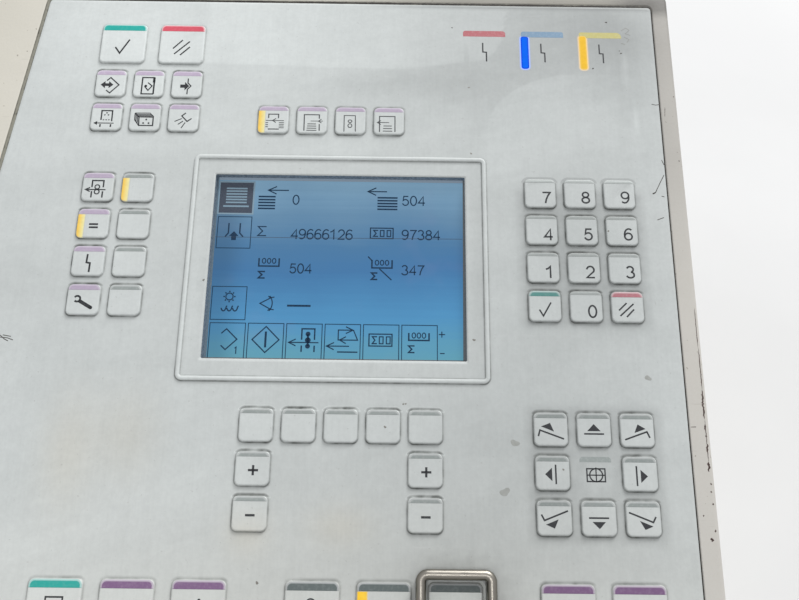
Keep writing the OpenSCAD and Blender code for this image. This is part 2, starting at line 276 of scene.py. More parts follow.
def joined(surfaces):
    """One surface out of many: points stacked, each face's numbers moved on to match."""
    starts = np.cumsum([0] + [len(surface[0]) for surface in surfaces])
    points = np.concatenate([surface[0] for surface in surfaces])
    faces = [block + start for surface, start in zip(surfaces, starts) for block in surface[1]]
    return points, faces


def moved(surface, x=0.0, y=0.0, z=0.0):
    """A surface moved by x, y and z."""
    points, faces = surface
    return points + np.array([x, y, z]), faces


# ---------------------------------------------------------------- flat drawing
def flat(points, faces):
    """A drawing in the plane as a surface at height 0."""
    return np.concatenate([points, np.zeros((len(points), 1))], axis=1), faces


def line(*places, width=PEN, closed=False):
    """A pen stroke: its two edges lie half the width to each side of the path.

    At a bend both edges move along the bisector of the two normals, n0 + n1, over
    1 + n0 . n1, which keeps the stroke's width on both sides of the bend. The divisor
    is held at the sharpest bend's, so that no corner runs out to a spike.
    """
    path = np.array(places, float)
    ahead = np.roll(path, -1, axis=0) - path
    normals = np.stack([-ahead[:, 1], ahead[:, 0]], axis=1)
    normals /= np.maximum(np.linalg.norm(normals, axis=1, keepdims=True), TINY)
    if not closed:
        normals[-1] = normals[-2]
    before = np.roll(normals, 1, axis=0)
    if not closed:
        before[0] = normals[0]
    square = np.maximum(1 + (normals * before).sum(axis=1), SHARPEST_BEND)[:, None]
    reach = (normals + before) / square * width / 2
    edges = np.concatenate([path - reach, path + reach])
    count = len(path)
    here = np.arange(count if closed else count - 1)
    after = (here + 1) % count
    return flat(edges, [np.stack([here, after, after + count, here + count], axis=1)])


def arc(cx, cy, rx, ry, start, end, steps):
    """Points on an ellipse from one angle to another, in degrees."""
    angle = np.radians(np.linspace(start, end, steps))
    return np.stack([cx + rx * np.cos(angle), cy + ry * np.sin(angle)], axis=1)


def loop(cx, cy, rx, ry, width=PEN):
    """A pen stroke round an ellipse."""
    return line(*arc(cx, cy, rx, ry, 0, 360, 29)[:-1], width=width, closed=True)


def area(*places):
    """A filled shape, turned to look outwards: counterclockwise by its signed area."""
    points = np.array(places, float)
    onward = np.roll(points, -1, axis=0)
    turned = (points[:, 0] * onward[:, 1] - points[:, 1] * onward[:, 0]).sum() < 0
    order = np.arange(len(points))
    return flat(points, [(order[::-1] if turned else order)[None]])


def dot(x, y, radius):
    """A filled circle."""
    return area(*arc(x, y, radius, radius, 0, 360, 17)[:-1])


def tab(x0, y0, x1, y1, left, right):
    """A filled bar: square at the foot, its top corners rounded by the radii left and right."""
    return area([x0, y0], [x1, y0], *arc(x1 - right, y1 - right, right, right, 0, 90, 7),
                *arc(x0 + left, y1 - left, left, left, 90, 180, 7))


def strokes(width, *paths, closed=False):
    """Pen strokes of one width along several paths."""
    return [line(*path, width=width, closed=closed) for path in paths]


# ---------------------------------------------------------------- figures
FIGURE_ASPECT = 0.74


def figure_paths(figure):
    """Paths of one figure, in a box 0.74 wide and 1 high, and whether each is closed."""
    lower_bowl = arc(0.37, 0.31, 0.31, 0.285, 0, 360, 29)[:-1]
    swing = arc(0.43, 0.47, 0.37, 0.5, 52, 190, 16)
    paths = {
        "0": [(arc(0.37, 0.5, 0.31, 0.475, 0, 360, 33)[:-1], True)],
        "1": [(np.array([[0.03, 0.74], [0.22, 0.80], [0.40, 0.97], [0.40, 0.0]]), False)],
        "2": [(np.concatenate([
            arc(0.37, 0.68, 0.30, 0.295, 172, -28, 16), [[0.06, 0.035], [0.71, 0.035]]]), False)],
        "3": [(np.concatenate([
            arc(0.35, 0.735, 0.27, 0.235, 160, -75, 14),
            arc(0.36, 0.27, 0.32, 0.245, 78, -162, 16)]), False)],
        "4": [(np.array([[0.55, 0.0], [0.55, 0.95], [0.05, 0.29], [0.73, 0.29]]), False)],
        "5": [(np.concatenate([
            [[0.66, 0.955], [0.19, 0.955], [0.11, 0.52]],
            arc(0.36, 0.33, 0.31, 0.30, 128, -162, 18)]), False)],
        "6": [(lower_bowl, True), (swing, False)],
        "7": [(np.array([
            [0.05, 0.955], [0.70, 0.955], [0.50, 0.66], [0.36, 0.34], [0.28, 0.0]]), False)],
        "8": [(arc(0.37, 0.745, 0.255, 0.22, 0, 360, 25)[:-1], True),
              (arc(0.37, 0.265, 0.31, 0.24, 0, 360, 29)[:-1], True)],
    }
    if figure == "9":
        return [(np.array([FIGURE_ASPECT, 1.0]) - path, closed) for path, closed in paths["6"]]
    return paths[figure]


def figures(text, x, y, height, step, width, squeeze):
    """A row of figures from the lower left corner x, y, one step apart, squeezed sideways."""
    scale = [height * squeeze, height]
    return [
        line(*(path * scale + [x + number * step, y]), width=width, closed=closed)
        for number, figure in enumerate(text)
        for path, closed in figure_paths(figure)
    ]


# ---------------------------------------------------------------- age of the foil, and painted light and shade on it
rng = np.random.default_rng(7)
WAVE_COUNT = 22
WAVE_TURNS = rng.uniform(0, 2 * np.pi, WAVE_COUNT)
WAVE_LENGTHS = rng.uniform(0.6, 1.6, WAVE_COUNT)
WAVE_STARTS = rng.uniform(0, 2 * np.pi, WAVE_COUNT)


def mottle(x, y, length):
    """Irregular cloudiness: the mean of sines sin(k . p + start) of waves about one length."""
    k = 2 * np.pi / (length * WAVE_LENGTHS)
    along_x = np.multiply.outer(x, k * np.cos(WAVE_TURNS))
    along_y = np.multiply.outer(y, k * np.sin(WAVE_TURNS))
    return np.sin(along_x + along_y + WAVE_STARTS).mean(axis=-1) * math.sqrt(WAVE_COUNT / 2)


def soft_step(distance, width):
    """0 before and 1 after a smooth rise, t * t * (3 - 2 * t), over the width."""
    t = np.clip(distance / width + 0.5, 0.0, 1.0)
    return t * t * (3 - 2 * t)


def cloud(x, y, middle, reach):
    """A soft round cloud: exp(-(dx / rx)^2 - (dy / ry)^2)."""
    return np.exp(-((x - middle[0]) / reach[0]) ** 2 - ((y - middle[1]) / reach[1]) ** 2)


def patch(x, y, low, high, edge):
    """A rectangle with soft edges: the product of four soft steps."""
    return (soft_step(x - low[0], edge) * soft_step(high[0] - x, edge)
            * soft_step(y - low[1], edge) * soft_step(high[1] - y, edge))


# Clean foil's lightness, in levels from 0 to 255 as a screen shows it
PLAIN_LEVEL = 197.0
LEAST_TONE = 0.2
DISPLAY_GAMMA = 2.2
# Paler and darker clouds on the foil: middle, reach and change in levels. Partly smudges and dirt, partly
# painted light: the paler top left, left and lower left stand in for light falling brighter there
CLOUDS = (
    ((-95.0, 135.0), (90.0, 55.0), 20.0),
    ((-150.0, -160.0), (80.0, 70.0), 10.0),
    ((-170.0, 20.0), (60.0, 120.0), 6.0),
    ((-35.0, 138.0), (55.0, 22.0), -7.0),
    ((70.0, 128.0), (48.0, 26.0), -17.0),
    ((28.0, 104.0), (36.0, 9.0), -11.0),
    ((66.0, 98.0), (24.0, 12.0), -8.0),
    ((150.0, 128.0), (14.0, 12.0), -7.0),
    ((-150.0, -16.0), (30.0, 14.0), -7.0),
    ((-95.0, 63.0), (28.0, 8.0), 4.0),
    ((-67.0, 74.0), (13.0, 10.0), 5.0),
    ((-68.0, 118.0), (13.0, 32.0), -6.0),
    ((-6.0, 64.0), (20.0, 5.0), 6.0),
    ((130.0, -34.0), (45.0, 8.0), -5.0),
    ((52.0, 147.0), (60.0, 7.0), -5.0),
    ((121.5, -103.0), (9.0, 9.0), 15.0),
    ((62.0, -138.0), (16.0, 9.0), 6.0),
    ((69.0, 0.0), (4.0, 50.0), -9.0),
    ((-70.0, 0.0), (4.0, 50.0), 7.0),
    ((140.0, 135.0), (38.0, 30.0), -27.0),
    ((118.0, 92.0), (50.0, 26.0), -9.0),
    ((115.0, 158.0), (40.0, 16.0), -10.0),
    ((118.0, 30.0), (42.0, 60.0), -14.0),
    ((150.0, 98.0), (9.0, 22.0), -6.0),
    ((20.0, -115.0), (75.0, 45.0), -6.0),
    ((95.0, -95.0), (55.0, 55.0), -12.0),
    ((30.0, -170.0), (60.0, 25.0), -5.0),
    ((118.0, -140.0), (45.0, 14.0), -6.0),
    ((-60.0, -105.0), (24.0, 26.0), 6.0),
    ((149.5, 114.0), (1.5, 12.0), 10.0),
    ((153.2, 83.0), (1.2, 7.0), 10.0),
)
# A hand's breadth of foil wiped clean, paler towards its upper edge
WIPED_MIDDLE = (125.0, 74.0)
WIPED_REACH = (50.0, 36.0)
WIPED_PALE = ((110.0, 84.0), (42.0, 34.0))
WIPED_GAIN = 12.0
# The band over the screen that is paler: its lower edge, its left end and its gain
BAND_EDGE_X = (-73.0, -24.0, 29.0, 51.0, 75.0, 80.0, 84.0, 87.0)
BAND_EDGE_Y = (113.7, 112.6, 111.5, 114.5, 118.0, 123.0, 131.0, 150.0)
BAND_LEFT = -75.0
BAND_GAIN = 9.0
# Shade along the foil's top edge, from the middle to the right
TOP_SHADE_WIDTH = 2.4
TOP_SHADE_FROM = 25.0
TOP_SHADE = 30.0
# Cloudiness everywhere: wave length in millimetres and height in levels
MOTTLES = ((9.0, 1.6), (34.0, 1.4))
# Dirt and painted shade round the most used keys: depth of the number block's, the ring's and the collar's;
# the shade lies in the gaps between keys and round the collar
PAD_GRIME_AND_SHADE = 19.0
RING_GRIME_AND_SHADE = 13.0
COLLAR_GRIME_AND_SHADE = 24.0
PAD_REACH = 31
# Yellowed stains: middle, reach and strength
STAINS = (
    ((-120.8, -92.7), (12.0, 25.0), 0.6),
    ((-95.0, -85.0), (15.0, 20.0), 0.5),
    ((-36.0, -128.5), (10.0, 10.0), 0.6),
    ((5.3, -125.5), (14.0, 9.0), 0.6),
    ((0.0, -190.0), (220.0, 60.0), 0.5),
)


def foil_level(x, y):
    """Change of the foil's lightness at x, y, in levels: clouds with painted light, wiped edges, the paler
    band, painted shade along the top edge, and mottling.
    """
    level = sum(change * cloud(x, y, middle, reach) for middle, reach, change in CLOUDS)
    aside = np.clip((WIPED_MIDDLE[0] - x) / WIPED_REACH[0], 0, 1)
    wiped_top = WIPED_MIDDLE[1] + WIPED_REACH[1] * np.sqrt(1 - aside ** 2)
    wiped = soft_step(wiped_top - y, 1.6) * soft_step(1 - aside, 0.02)
    level = level + WIPED_GAIN * wiped * cloud(x, y, *WIPED_PALE)
    above = soft_step(y - np.interp(x, BAND_EDGE_X, BAND_EDGE_Y), 1.8)
    level = level + BAND_GAIN * above * soft_step(x - BAND_LEFT, 6.0)
    shade = soft_step(y - FOIL_TOP + TOP_SHADE_WIDTH, 1.6) * soft_step(x - TOP_SHADE_FROM, 50.0)
    return level - TOP_SHADE * shade + sum(gain * mottle(x, y, length) for length, gain in MOTTLES)


def grime_and_shade_level(x, y):
    """Darkening round the keys that are pressed most, in levels: dirt, and painted shade in the gaps between
    the keys and round the collar.
    """
    pad = patch(x - NUMBER_PAD[0], y - NUMBER_PAD[1], (-PAD_REACH, -40), (PAD_REACH, 32), 7.0)
    ring = patch(x - DIRECTION_PAD[0], y - DIRECTION_PAD[1], (-PAD_REACH, -PAD_REACH),
                 (PAD_REACH, PAD_REACH), 5.0)
    guarded = (DRIVE_RUN_X + BIG_PITCH, BOTTOM_Y)
    collar = cloud(x, y, guarded, (21.0, 21.0)) + 0.5 * cloud(x, y, guarded, (28.0, 28.0))
    worn = 1.0 + 0.25 * mottle(x, y, 7.0)
    return -(PAD_GRIME_AND_SHADE * pad + RING_GRIME_AND_SHADE * ring + COLLAR_GRIME_AND_SHADE * collar) * worn


def as_tone(level):
    """A change in levels as a change of the colour: ((plain + level) / plain)^2.2 - 1."""
    return np.maximum((PLAIN_LEVEL + level) / PLAIN_LEVEL, LEAST_TONE) ** DISPLAY_GAMMA - 1.0


def stain(x, y):
    """Share of yellowing at x, y."""
    return sum(share * cloud(x, y, middle, reach) for middle, reach, share in STAINS)


def foil_marks(points, grime_and_shade_share=1.0, lift=0.0):
    """Tone, with its painted light and shade, and yellowing for points on the face; the share of dirt and
    painted shade and the lift may differ from point to point.
    """
    x, y = points[:, 0], points[:, 1]
    level = foil_level(x, y) + grime_and_shade_share * grime_and_shade_level(x, y) + lift
    return {"tone": as_tone(level), "yellowing": stain(x, y)}


# ---------------------------------------------------------------- pieces and their upkeep
def piece(name, surface, material, place=on_face, replaces=(), smooth=True, marks=None):
    """A surface as a piece of the part, riding on its one body."""
    points, faces = surface
    mesh = bpy.data.meshes.new(name)
    mesh.from_pydata(place(points).tolist(), [], [face for block in faces for face in block.tolist()])
    mesh.polygons.foreach_set("use_smooth", np.full(len(mesh.polygons), smooth))
    for mark, values in (marks or {}).items():
        mesh.attributes.new(mark, "FLOAT", "POINT").data.foreach_set("value", values.astype(np.float32))
    mesh.update()
    made = bpy.data.objects.new(name, mesh)
    bpy.context.scene.collection.objects.link(made)
    made.data.materials.append(material)
    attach(made, "root")
    if replaces:
        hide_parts(*replaces)


def printed(name, drawings, ink):
    """Flat drawings as one piece with hard edges."""
    piece(name, joined(drawings), ink, smooth=False)


def finish_node(name, material):
    """Gives a carried-over node its material."""
    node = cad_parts[name]
    node.data.materials.clear()
    node.data.materials.append(material)


# ---------------------------------------------------------------- materials
class Finish:
    """A material being put together: a principled shader fed by textures in object space."""

    def __init__(self, name):
        self.material = bpy.data.materials.new(name)
        self.material.use_nodes = True
        self.nodes = self.material.node_tree.nodes
        self.links = self.material.node_tree.links
        self.shader = self.nodes["Principled BSDF"]
        self.place = self.add("ShaderNodeTexCoord").outputs["Object"]

    def add(self, kind, inputs=None, **settings):
        """A node of a kind; inputs are numbers, colours or other nodes' outputs."""
        made = self.nodes.new(kind)
        for name, value in settings.items():
            setattr(made, name, value)
        for name, value in (inputs or {}).items():
            if isinstance(value, bpy.types.NodeSocket):
                self.links.new(value, made.inputs[name])
            else:
                made.inputs[name].default_value = value
        return made

    def set(self, **values):
        """Values or outputs for the shader's own sockets, named with underscores."""
        for name, value in values.items():
            socket = self.shader.inputs[name.replace("_", " ")]
            if isinstance(value, bpy.types.NodeSocket):
                self.links.new(value, socket)
            else:
                socket.default_value = value
        return self

    def stretched(self, scale=(1, 1, 1), turn=(0, 0, 0)):
        """Object coordinates turned and scaled."""
        return self.add("ShaderNodeMapping", {
            "Vector": self.place, "Scale": scale, "Rotation": turn,
        }).outputs["Vector"]

    def noise(self, scale, detail, rough=0.55, place=None, twist=0.0):
        """Cloudy noise between 0 and 1; scale is blobs per metre."""
        return self.add("ShaderNodeTexNoise", {
            "Vector": place or self.place, "Scale": scale, "Detail": detail,
            "Roughness": rough, "Distortion": twist,
        }).outputs["Fac"]

    def ramp(self, value, low, high, start=0.0, end=1.0, kind="SMOOTHSTEP"):
        """A value taken from low..high to start..end, held at both ends."""
        return self.add("ShaderNodeMapRange", {
            "Value": value, "From Min": low, "From Max": high, "To Min": start, "To Max": end,
        }, interpolation_type=kind).outputs["Result"]

    def sum(self, how, a, b):
        """Two numbers put together: ADD, MULTIPLY, MAXIMUM and so on."""
        return self.add("ShaderNodeMath", {0: a, 1: b}, operation=how).outputs[0]

    def blend(self, share, under, over, how="MIX"):
        """A colour between two, by a share of the second."""
        return self.add("ShaderNodeMix", {0: share, 6: under, 7: over},
                        data_type="RGBA", blend_type=how).outputs[2]

    def laid(self, mask, strength, under, over):
        """A colour over another where a mask is, by its strength: share = mask * strength."""
        return self.blend(self.sum("MULTIPLY", mask, strength), under, over)

    def parts(self, place):
        """The three numbers of a place."""
        return self.add("ShaderNodeSeparateXYZ", {0: place}).outputs

    def mark(self, name):
        """A number stored on the mesh's points, 0 where a mesh has none."""
        return self.add("ShaderNodeAttribute", attribute_name=name).outputs["Fac"]

    def toned(self, colour):
        """A colour made lighter or darker by the mesh's tone: colour * (1 + tone)."""
        return self.blend(1.0, colour, self.sum("ADD", self.mark("tone"), 1.0), "MULTIPLY")

    def bump(self, height, depth, strength):
        """A surface normal tipped by a height field; depth is in metres."""
        normal = self.add("ShaderNodeBump", {"Height": height, "Distance": depth, "Strength": strength})
        return self.set(Normal=normal.outputs["Normal"])


def grey(value):
    """A grey colour."""
    return (value, value, value, 1.0)


def faded(colour, towards, share):
    """A colour taken a share of the way to a grey: c + (towards - c) * share."""
    return tuple(channel + (towards - channel) * share for channel in colour[:3]) + (1,)


def painted_cream():
    """Cream enamel: faint orange peel and yellowing, scuffs and specks of dirt."""
    f = Finish("cream_paint")
    tone = f.ramp(f.noise(9, 5), 0.3, 0.7)
    colour = f.blend(tone, (0.660, 0.632, 0.556, 1), (0.690, 0.664, 0.594, 1))
    colour = f.blend(f.mark("greyed"), colour, (0.672, 0.648, 0.618, 1))
    fine = f.ramp(f.noise(900, 3), 0.35, 0.65)
    colour = f.laid(fine, 0.15, colour, (0.60, 0.57, 0.50, 1))
    colour = f.toned(colour)
    specks = f.ramp(f.noise(420, 2, 0.5), 0.725, 0.745)
    colour = f.laid(specks, 0.6, colour, (0.22, 0.19, 0.15, 1))
    scuffs = f.ramp(f.noise(1, 3, 0.6, f.stretched((60, 700, 700), (0, 0, 0.6))), 0.66, 0.72)
    colour = f.laid(scuffs, 0.22, colour, (0.40, 0.37, 0.32, 1))
    f.set(Base_Color=colour, Roughness=f.ramp(f.noise(40, 4), 0.2, 0.8, 0.38, 0.52))
    f.bump(f.noise(650, 2), 0.00008, 0.6)
    return f.material


FOIL_PALE = (0.612, 0.641, 0.633, 1)
FOIL_DULL = (0.588, 0.617, 0.609, 1)


def foil_finish(name, creased=False, halo=None, strength=0.4):
    """Fine matt polyester foil: grain, wiped smears, dust, stains, and dirt and painted shade in the keys'
    creases.
    """
    f = Finish(name)
    smear = f.noise(1, 6, 0.62, f.stretched((16, 26, 26), (0, 0, 0.5)), twist=0.8)
    base = f.blend(f.ramp(smear, 0.36, 0.64), FOIL_DULL, FOIL_PALE)
    grain = f.ramp(f.noise(520, 3, 0.6), 0.3, 0.7, 0.975, 1.022)
    base = f.toned(f.blend(1.0, base, grain, "MULTIPLY"))
    base = f.blend(f.mark("yellowing"), base, f.blend(1.0, base, (1.05, 0.985, 0.90, 1), "MULTIPLY"))
    wipes = f.ramp(f.noise(1, 3, 0.5, f.stretched((40, 460, 460), (0, 0, 0.9))), 0.62, 0.8)
    base = f.laid(wipes, 0.10, base, grey(0.78))
    strokes = f.noise(1, 3, 0.6, f.stretched((850, 45, 45)))
    base = f.blend(1.0, base, f.ramp(strokes, 0.3, 0.7, 0.987, 1.013), "MULTIPLY")
    dust = f.ramp(f.noise(700, 2, 0.5), 0.71, 0.75)
    base = f.laid(dust, 0.25, base, (0.30, 0.29, 0.27, 1))
    if creased:
        dirt_and_shade = f.sum("MULTIPLY", f.mark("crease"), f.ramp(f.noise(330, 3), 0.25, 0.75, 0.72, 1.0))
        base = f.blend(dirt_and_shade, base, (0.075, 0.080, 0.073, 1))
    if halo:
        glow = f.mark("halo")
        base = f.blend(glow, base, f.blend(0.5, base, halo))
        f.set(Emission_Color=halo, Emission_Strength=f.sum("MULTIPLY", glow, strength))
    f.set(Base_Color=base, Roughness=f.ramp(smear, 0.3, 0.7, 0.42, 0.60), Specular_IOR_Level=0.4)
    f.bump(f.noise(2600, 2), 0.00002, 0.35)
    return f.material


def print_ink(name, colour, worn):
    """Screen-printed ink: nearly even, with a thin spot here and there."""
    f = Finish(name)
    thin = f.ramp(f.noise(1100, 3), 0.45, 0.8)
    f.set(Base_Color=f.laid(thin, worn, colour, faded(colour, 0.62, 0.6)), Roughness=0.5)
    f.bump(f.noise(2600, 2), 0.00002, 0.3)
    return f.material


def bar_ink(name, colour, worn=0.15, rim=0.7):
    """Ink of a colour bar: paler over the key's shoulder, a painted highlight, with a darker lower edge."""
    f = Finish(name)
    thin = f.ramp(f.noise(800, 3), 0.40, 0.8)
    pale = faded(colour, 0.92, 0.60)
    base = f.laid(thin, 0.8 * worn, colour, pale)
    # Painted highlight: the ink turns pale where the rim mark lies over the key's shoulder
    base = f.laid(f.mark("rim"), rim, base, pale)
    base = f.laid(f.mark("foot"), 0.55, base, faded(colour, 0.0, 0.45))
    f.set(Base_Color=f.toned(base), Roughness=0.48)
    f.bump(f.noise(2600, 2), 0.00002, 0.3)
    return f.material


def led_window(name, strong, pale, strength):
    """A light bar behind the foil: strong at the key's edge, fading towards its middle."""
    f = Finish(name)
    across = f.mark("across")
    cloud = f.ramp(f.noise(420, 2), 0.2, 0.8, 0.92, 1.04)
    colour = f.blend(f.ramp(across, 0.0, 0.9), strong, pale)
    shine = f.ramp(across, 0.78, 1.0, 1.0, 0.0)
    f.set(Base_Color=f.blend(shine, FOIL_PALE, f.blend(0.85, colour, grey(0.0))), Roughness=0.45)
    f.set(Emission_Color=colour)
    f.set(Emission_Strength=f.sum("MULTIPLY", f.sum("MULTIPLY", cloud, shine), strength))
    return f.material


def lit_lens(name, edge, middle, strength):
    """A lamp behind frosted foil: brightest along its middle line."""
    f = Finish(name)
    glow = f.ramp(f.mark("middle"), 0.0, 1.0)
    cloud = f.ramp(f.noise(500, 2), 0.2, 0.8, 0.94, 1.04)
    colour = f.blend(glow, edge, middle)
    f.set(Base_Color=f.blend(0.95, colour, grey(0.0)), Roughness=0.5, Specular_IOR_Level=0.05)
    f.set(Emission_Color=colour, Emission_Strength=f.sum("MULTIPLY", cloud, strength))
    return f.material


# Half the screen's height in metres, and its colour from the foot to the top
SCREEN_HALF = 0.049
SCREEN_STOPS = (
    (0.0, (0.115, 0.345, 0.450, 1)),
    (0.22, (0.075, 0.282, 0.522, 1)),
    (0.48, (0.052, 0.182, 0.385, 1)),
    (0.62, (0.066, 0.190, 0.362, 1)),
    (0.80, (0.124, 0.252, 0.395, 1)),
    (1.0, (0.205, 0.365, 0.510, 1)),
)


def screen_glass():
    """Blue backlit screen under glass: paler at the top and at the foot, with streaks and clouds.

    Its height goes from 0 at the foot to 1 at the top and is looked up in the screen's
    stops, after noise has shifted it; the left edge is shaded.
    """
    f = Finish("screen")
    x, y = f.parts(f.stretched(turn=(-FACE_SLOPE, 0, 0)))[:2]
    origin = MM * float(FACE_ORIGIN @ UPWARD)
    middle = MM * float(FACE_ORIGIN[0])
    height = f.ramp(y, origin - SCREEN_HALF, origin + SCREEN_HALF, 0, 1, "LINEAR")
    cloud = f.sum("MULTIPLY", f.sum("SUBTRACT", f.noise(22, 4, 0.5), 0.5), 0.22)
    streak = f.noise(1, 4, 0.6, f.stretched((9, 420, 420), (-FACE_SLOPE, 0, 0)))
    cloud = f.sum("ADD", cloud, f.sum("MULTIPLY", f.sum("SUBTRACT", streak, 0.5), 0.10))
    band = f.add("ShaderNodeValToRGB", {"Fac": f.sum("ADD", height, cloud)})
    stops = band.color_ramp.elements
    stops[0].position, stops[0].color = SCREEN_STOPS[0]
    stops[1].position, stops[1].color = SCREEN_STOPS[-1]
    for position, colour in SCREEN_STOPS[1:-1]:
        stops.new(position).color = colour
    hazy = f.ramp(f.noise(34, 3, 0.5), 0.55, 0.75, 0.0, 0.16)
    colour = f.blend(hazy, band.outputs["Color"], (0.240, 0.260, 0.440, 1))
    colour = f.blend(1.0, colour, f.ramp(x, middle - 0.058, middle - 0.044, 0.76, 1.0), "MULTIPLY")
    f.set(Base_Color=f.blend(0.6, colour, grey(0.0)), Roughness=0.22)
    f.set(Emission_Color=colour, Emission_Strength=0.62)
    return f.material


def screen_print(name, colour, glow, speckle=0.15):
    """Dark cells of the screen: a little of the backlight comes through them."""
    f = Finish(name)
    fleck = f.ramp(f.noise(1300, 2), 0.35, 0.65)
    f.set(Base_Color=f.laid(fleck, speckle, colour, faded(colour, 0.24, 0.6)), Roughness=0.3)
    f.set(Specular_IOR_Level=0.2, Emission_Color=colour, Emission_Strength=glow)
    return f.material


def metal(name, colour, low, high, grain, depth):
    """Bare metal with a brushed or polished grain, darkened where the mesh is marked with soil and painted
    shade.
    """
    f = Finish(name)
    streak = f.noise(1, 3, 0.6, f.stretched(grain))
    spots = f.ramp(f.noise(60, 4), 0.3, 0.7)
    base = f.laid(spots, 0.5, colour, faded(colour, 0.0, 0.18))
    base = f.blend(f.mark("soil_and_shade"), base, (0.085, 0.078, 0.058, 1))
    f.set(Base_Color=base, Metallic=1.0, Roughness=f.ramp(streak, 0.3, 0.7, low, high))
    f.bump(streak, depth, 0.5)
    return f.material


def plain_matt(name, colour, other, scale, roughness):
    """A dull surface with grain and a slightly uneven tone."""
    f = Finish(name)
    f.set(Base_Color=f.blend(f.ramp(f.noise(scale, 4), 0.3, 0.7), colour, other), Roughness=roughness)
    f.bump(f.noise(scale * 20, 2), 0.00005, 0.4)
    return f.material


def seal_putty():
    """Sealing cord in the groove: olive grey, darker and ragged where its mark is high: settled dirt and
    painted shade in the groove.
    """
    f = Finish("seal_rubber")
    ragged = f.sum("MULTIPLY", f.sum("SUBTRACT", f.noise(420, 3), 0.5), 0.9)
    dirt_and_shade = f.ramp(f.sum("ADD", f.mark("soil_and_shade"), ragged), 0.25, 0.75)
    colour = f.blend(dirt_and_shade, (0.285, 0.278, 0.228, 1), (0.024, 0.019, 0.016, 1))
    f.set(Base_Color=colour, Roughness=0.65)
    f.bump(f.noise(1500, 2), 0.00006, 0.5)
    return f.material


CREAM = painted_cream()
FOIL = foil_finish("foil")
KEY_FOIL = foil_finish("key_foil", creased=True)
FOIL_BLUE_GLOW = foil_finish("foil_round_blue", halo=(0.12, 0.28, 1.0, 1), strength=0.75)
FOIL_YELLOW_GLOW = foil_finish("foil_round_yellow", halo=(1.0, 0.62, 0.20, 1), strength=0.35)
INK = print_ink("print_dark", (0.026, 0.028, 0.032, 1), 0.05)
INK_SOFT = print_ink("print_soft", (0.085, 0.090, 0.095, 1), 0.15)
INK_TEAL = bar_ink("print_green", (0.012, 0.375, 0.325, 1), 0.08)
INK_DULL_TEAL = bar_ink("print_dull_green", (0.110, 0.315, 0.290, 1), 0.2, 0.6)
INK_RED = bar_ink("print_red", (0.640, 0.085, 0.125, 1), 0.10)
INK_PINK = bar_ink("print_pink", (0.545, 0.205, 0.240, 1), 0.2, 0.6)
INK_LILAC = bar_ink("print_lilac", (0.490, 0.405, 0.530, 1), 0.25, 0.35)
INK_PURPLE = bar_ink("print_purple", (0.215, 0.112, 0.240, 1))
INK_GREY = bar_ink("print_grey", (0.325, 0.358, 0.348, 1), 0.25, 0.5)
INK_FAINT = bar_ink("print_faint", (0.440, 0.472, 0.460, 1), 0.2, 0.1)
INK_SLATE = bar_ink("print_slate", (0.112, 0.142, 0.140, 1))
INK_DULL_RED = bar_ink("print_dull_red", (0.510, 0.148, 0.168, 1), 0.2)
INK_BLUE = bar_ink("print_blue", (0.210, 0.335, 0.475, 1), 0.2)
INK_YELLOW = bar_ink("print_yellow", (0.570, 0.520, 0.185, 1), 0.2)
SYMBOL = screen_print("screen_symbol", (0.006, 0.030, 0.070, 1), 0.15, 0.1)
FIELD_LINE = screen_print("screen_field_line", (0.008, 0.040, 0.085, 1), 0.15, 0.1)
PANE = screen_print("screen_pane", (0.060, 0.075, 0.105, 1), 0.12)
PANE_LINE = screen_print("screen_pane_line", (0.190, 0.280, 0.350, 1), 0.25)
SCREEN_EDGE = screen_print("screen_edge", (0.095, 0.145, 0.190, 1), 0.24, 0.5)
# The top margin's glow is painted light against the shade of the foil's edge
SCREEN_TOP_EDGE = screen_print("screen_top_edge", (0.150, 0.190, 0.235, 1), 0.72, 0.3)
SCREEN_DARK_EDGE = screen_print("screen_dark_edge", (0.130, 0.145, 0.155, 1), 0.15, 0.4)
SCREEN = screen_glass()
LED_AMBER = led_window("lamp_amber", (1.0, 0.640, 0.090, 1), (0.95, 0.860, 0.400, 1), 0.78)
LED_STRONG = led_window("lamp_amber_strong", (1.0, 0.610, 0.004, 1), (0.96, 0.610, 0.030, 1), 0.80)
AMBER = lit_lens("lamp_yellow", (1.0, 0.70, 0.20, 1), (1.0, 0.61, 0.060, 1), 0.86)
BLUE = lit_lens("lamp_blue", (0.0, 0.045, 0.70, 1), (0.0, 0.150, 0.98, 1), 0.90)
COLLAR_STEEL = metal("collar_steel", (0.46, 0.43, 0.38, 1), 0.30, 0.42, (300, 40, 40), 0.00002)
ZINC = metal("base_zinc", (0.56, 0.56, 0.54, 1), 0.35, 0.55, (30, 500, 500), 0.00003)
CARRIER = plain_matt("carrier_metal", (0.260, 0.320, 0.385, 1), (0.135, 0.165, 0.205, 1), 900, 0.5)
RUBBER = seal_putty()
MODULE = plain_matt("module_black", (0.020, 0.022, 0.025, 1), (0.035, 0.036, 0.038, 1), 60, 0.6)
SPOT = plain_matt("print_spot", (0.22, 0.21, 0.19, 1), (0.30, 0.29, 0.26, 1), 700, 0.6)
PALE_SPOT = plain_matt("print_pale_spot", (0.345, 0.355, 0.335, 1), (0.405, 0.415, 0.395, 1), 500, 0.55)
DARK_SPOT = plain_matt("print_dark_spot", (0.050, 0.045, 0.042, 1), (0.11, 0.10, 0.09, 1), 900, 0.6)
CHIP = plain_matt("chipped_paint", (0.045, 0.022, 0.018, 1), (0.10, 0.065, 0.055, 1), 900, 0.7)

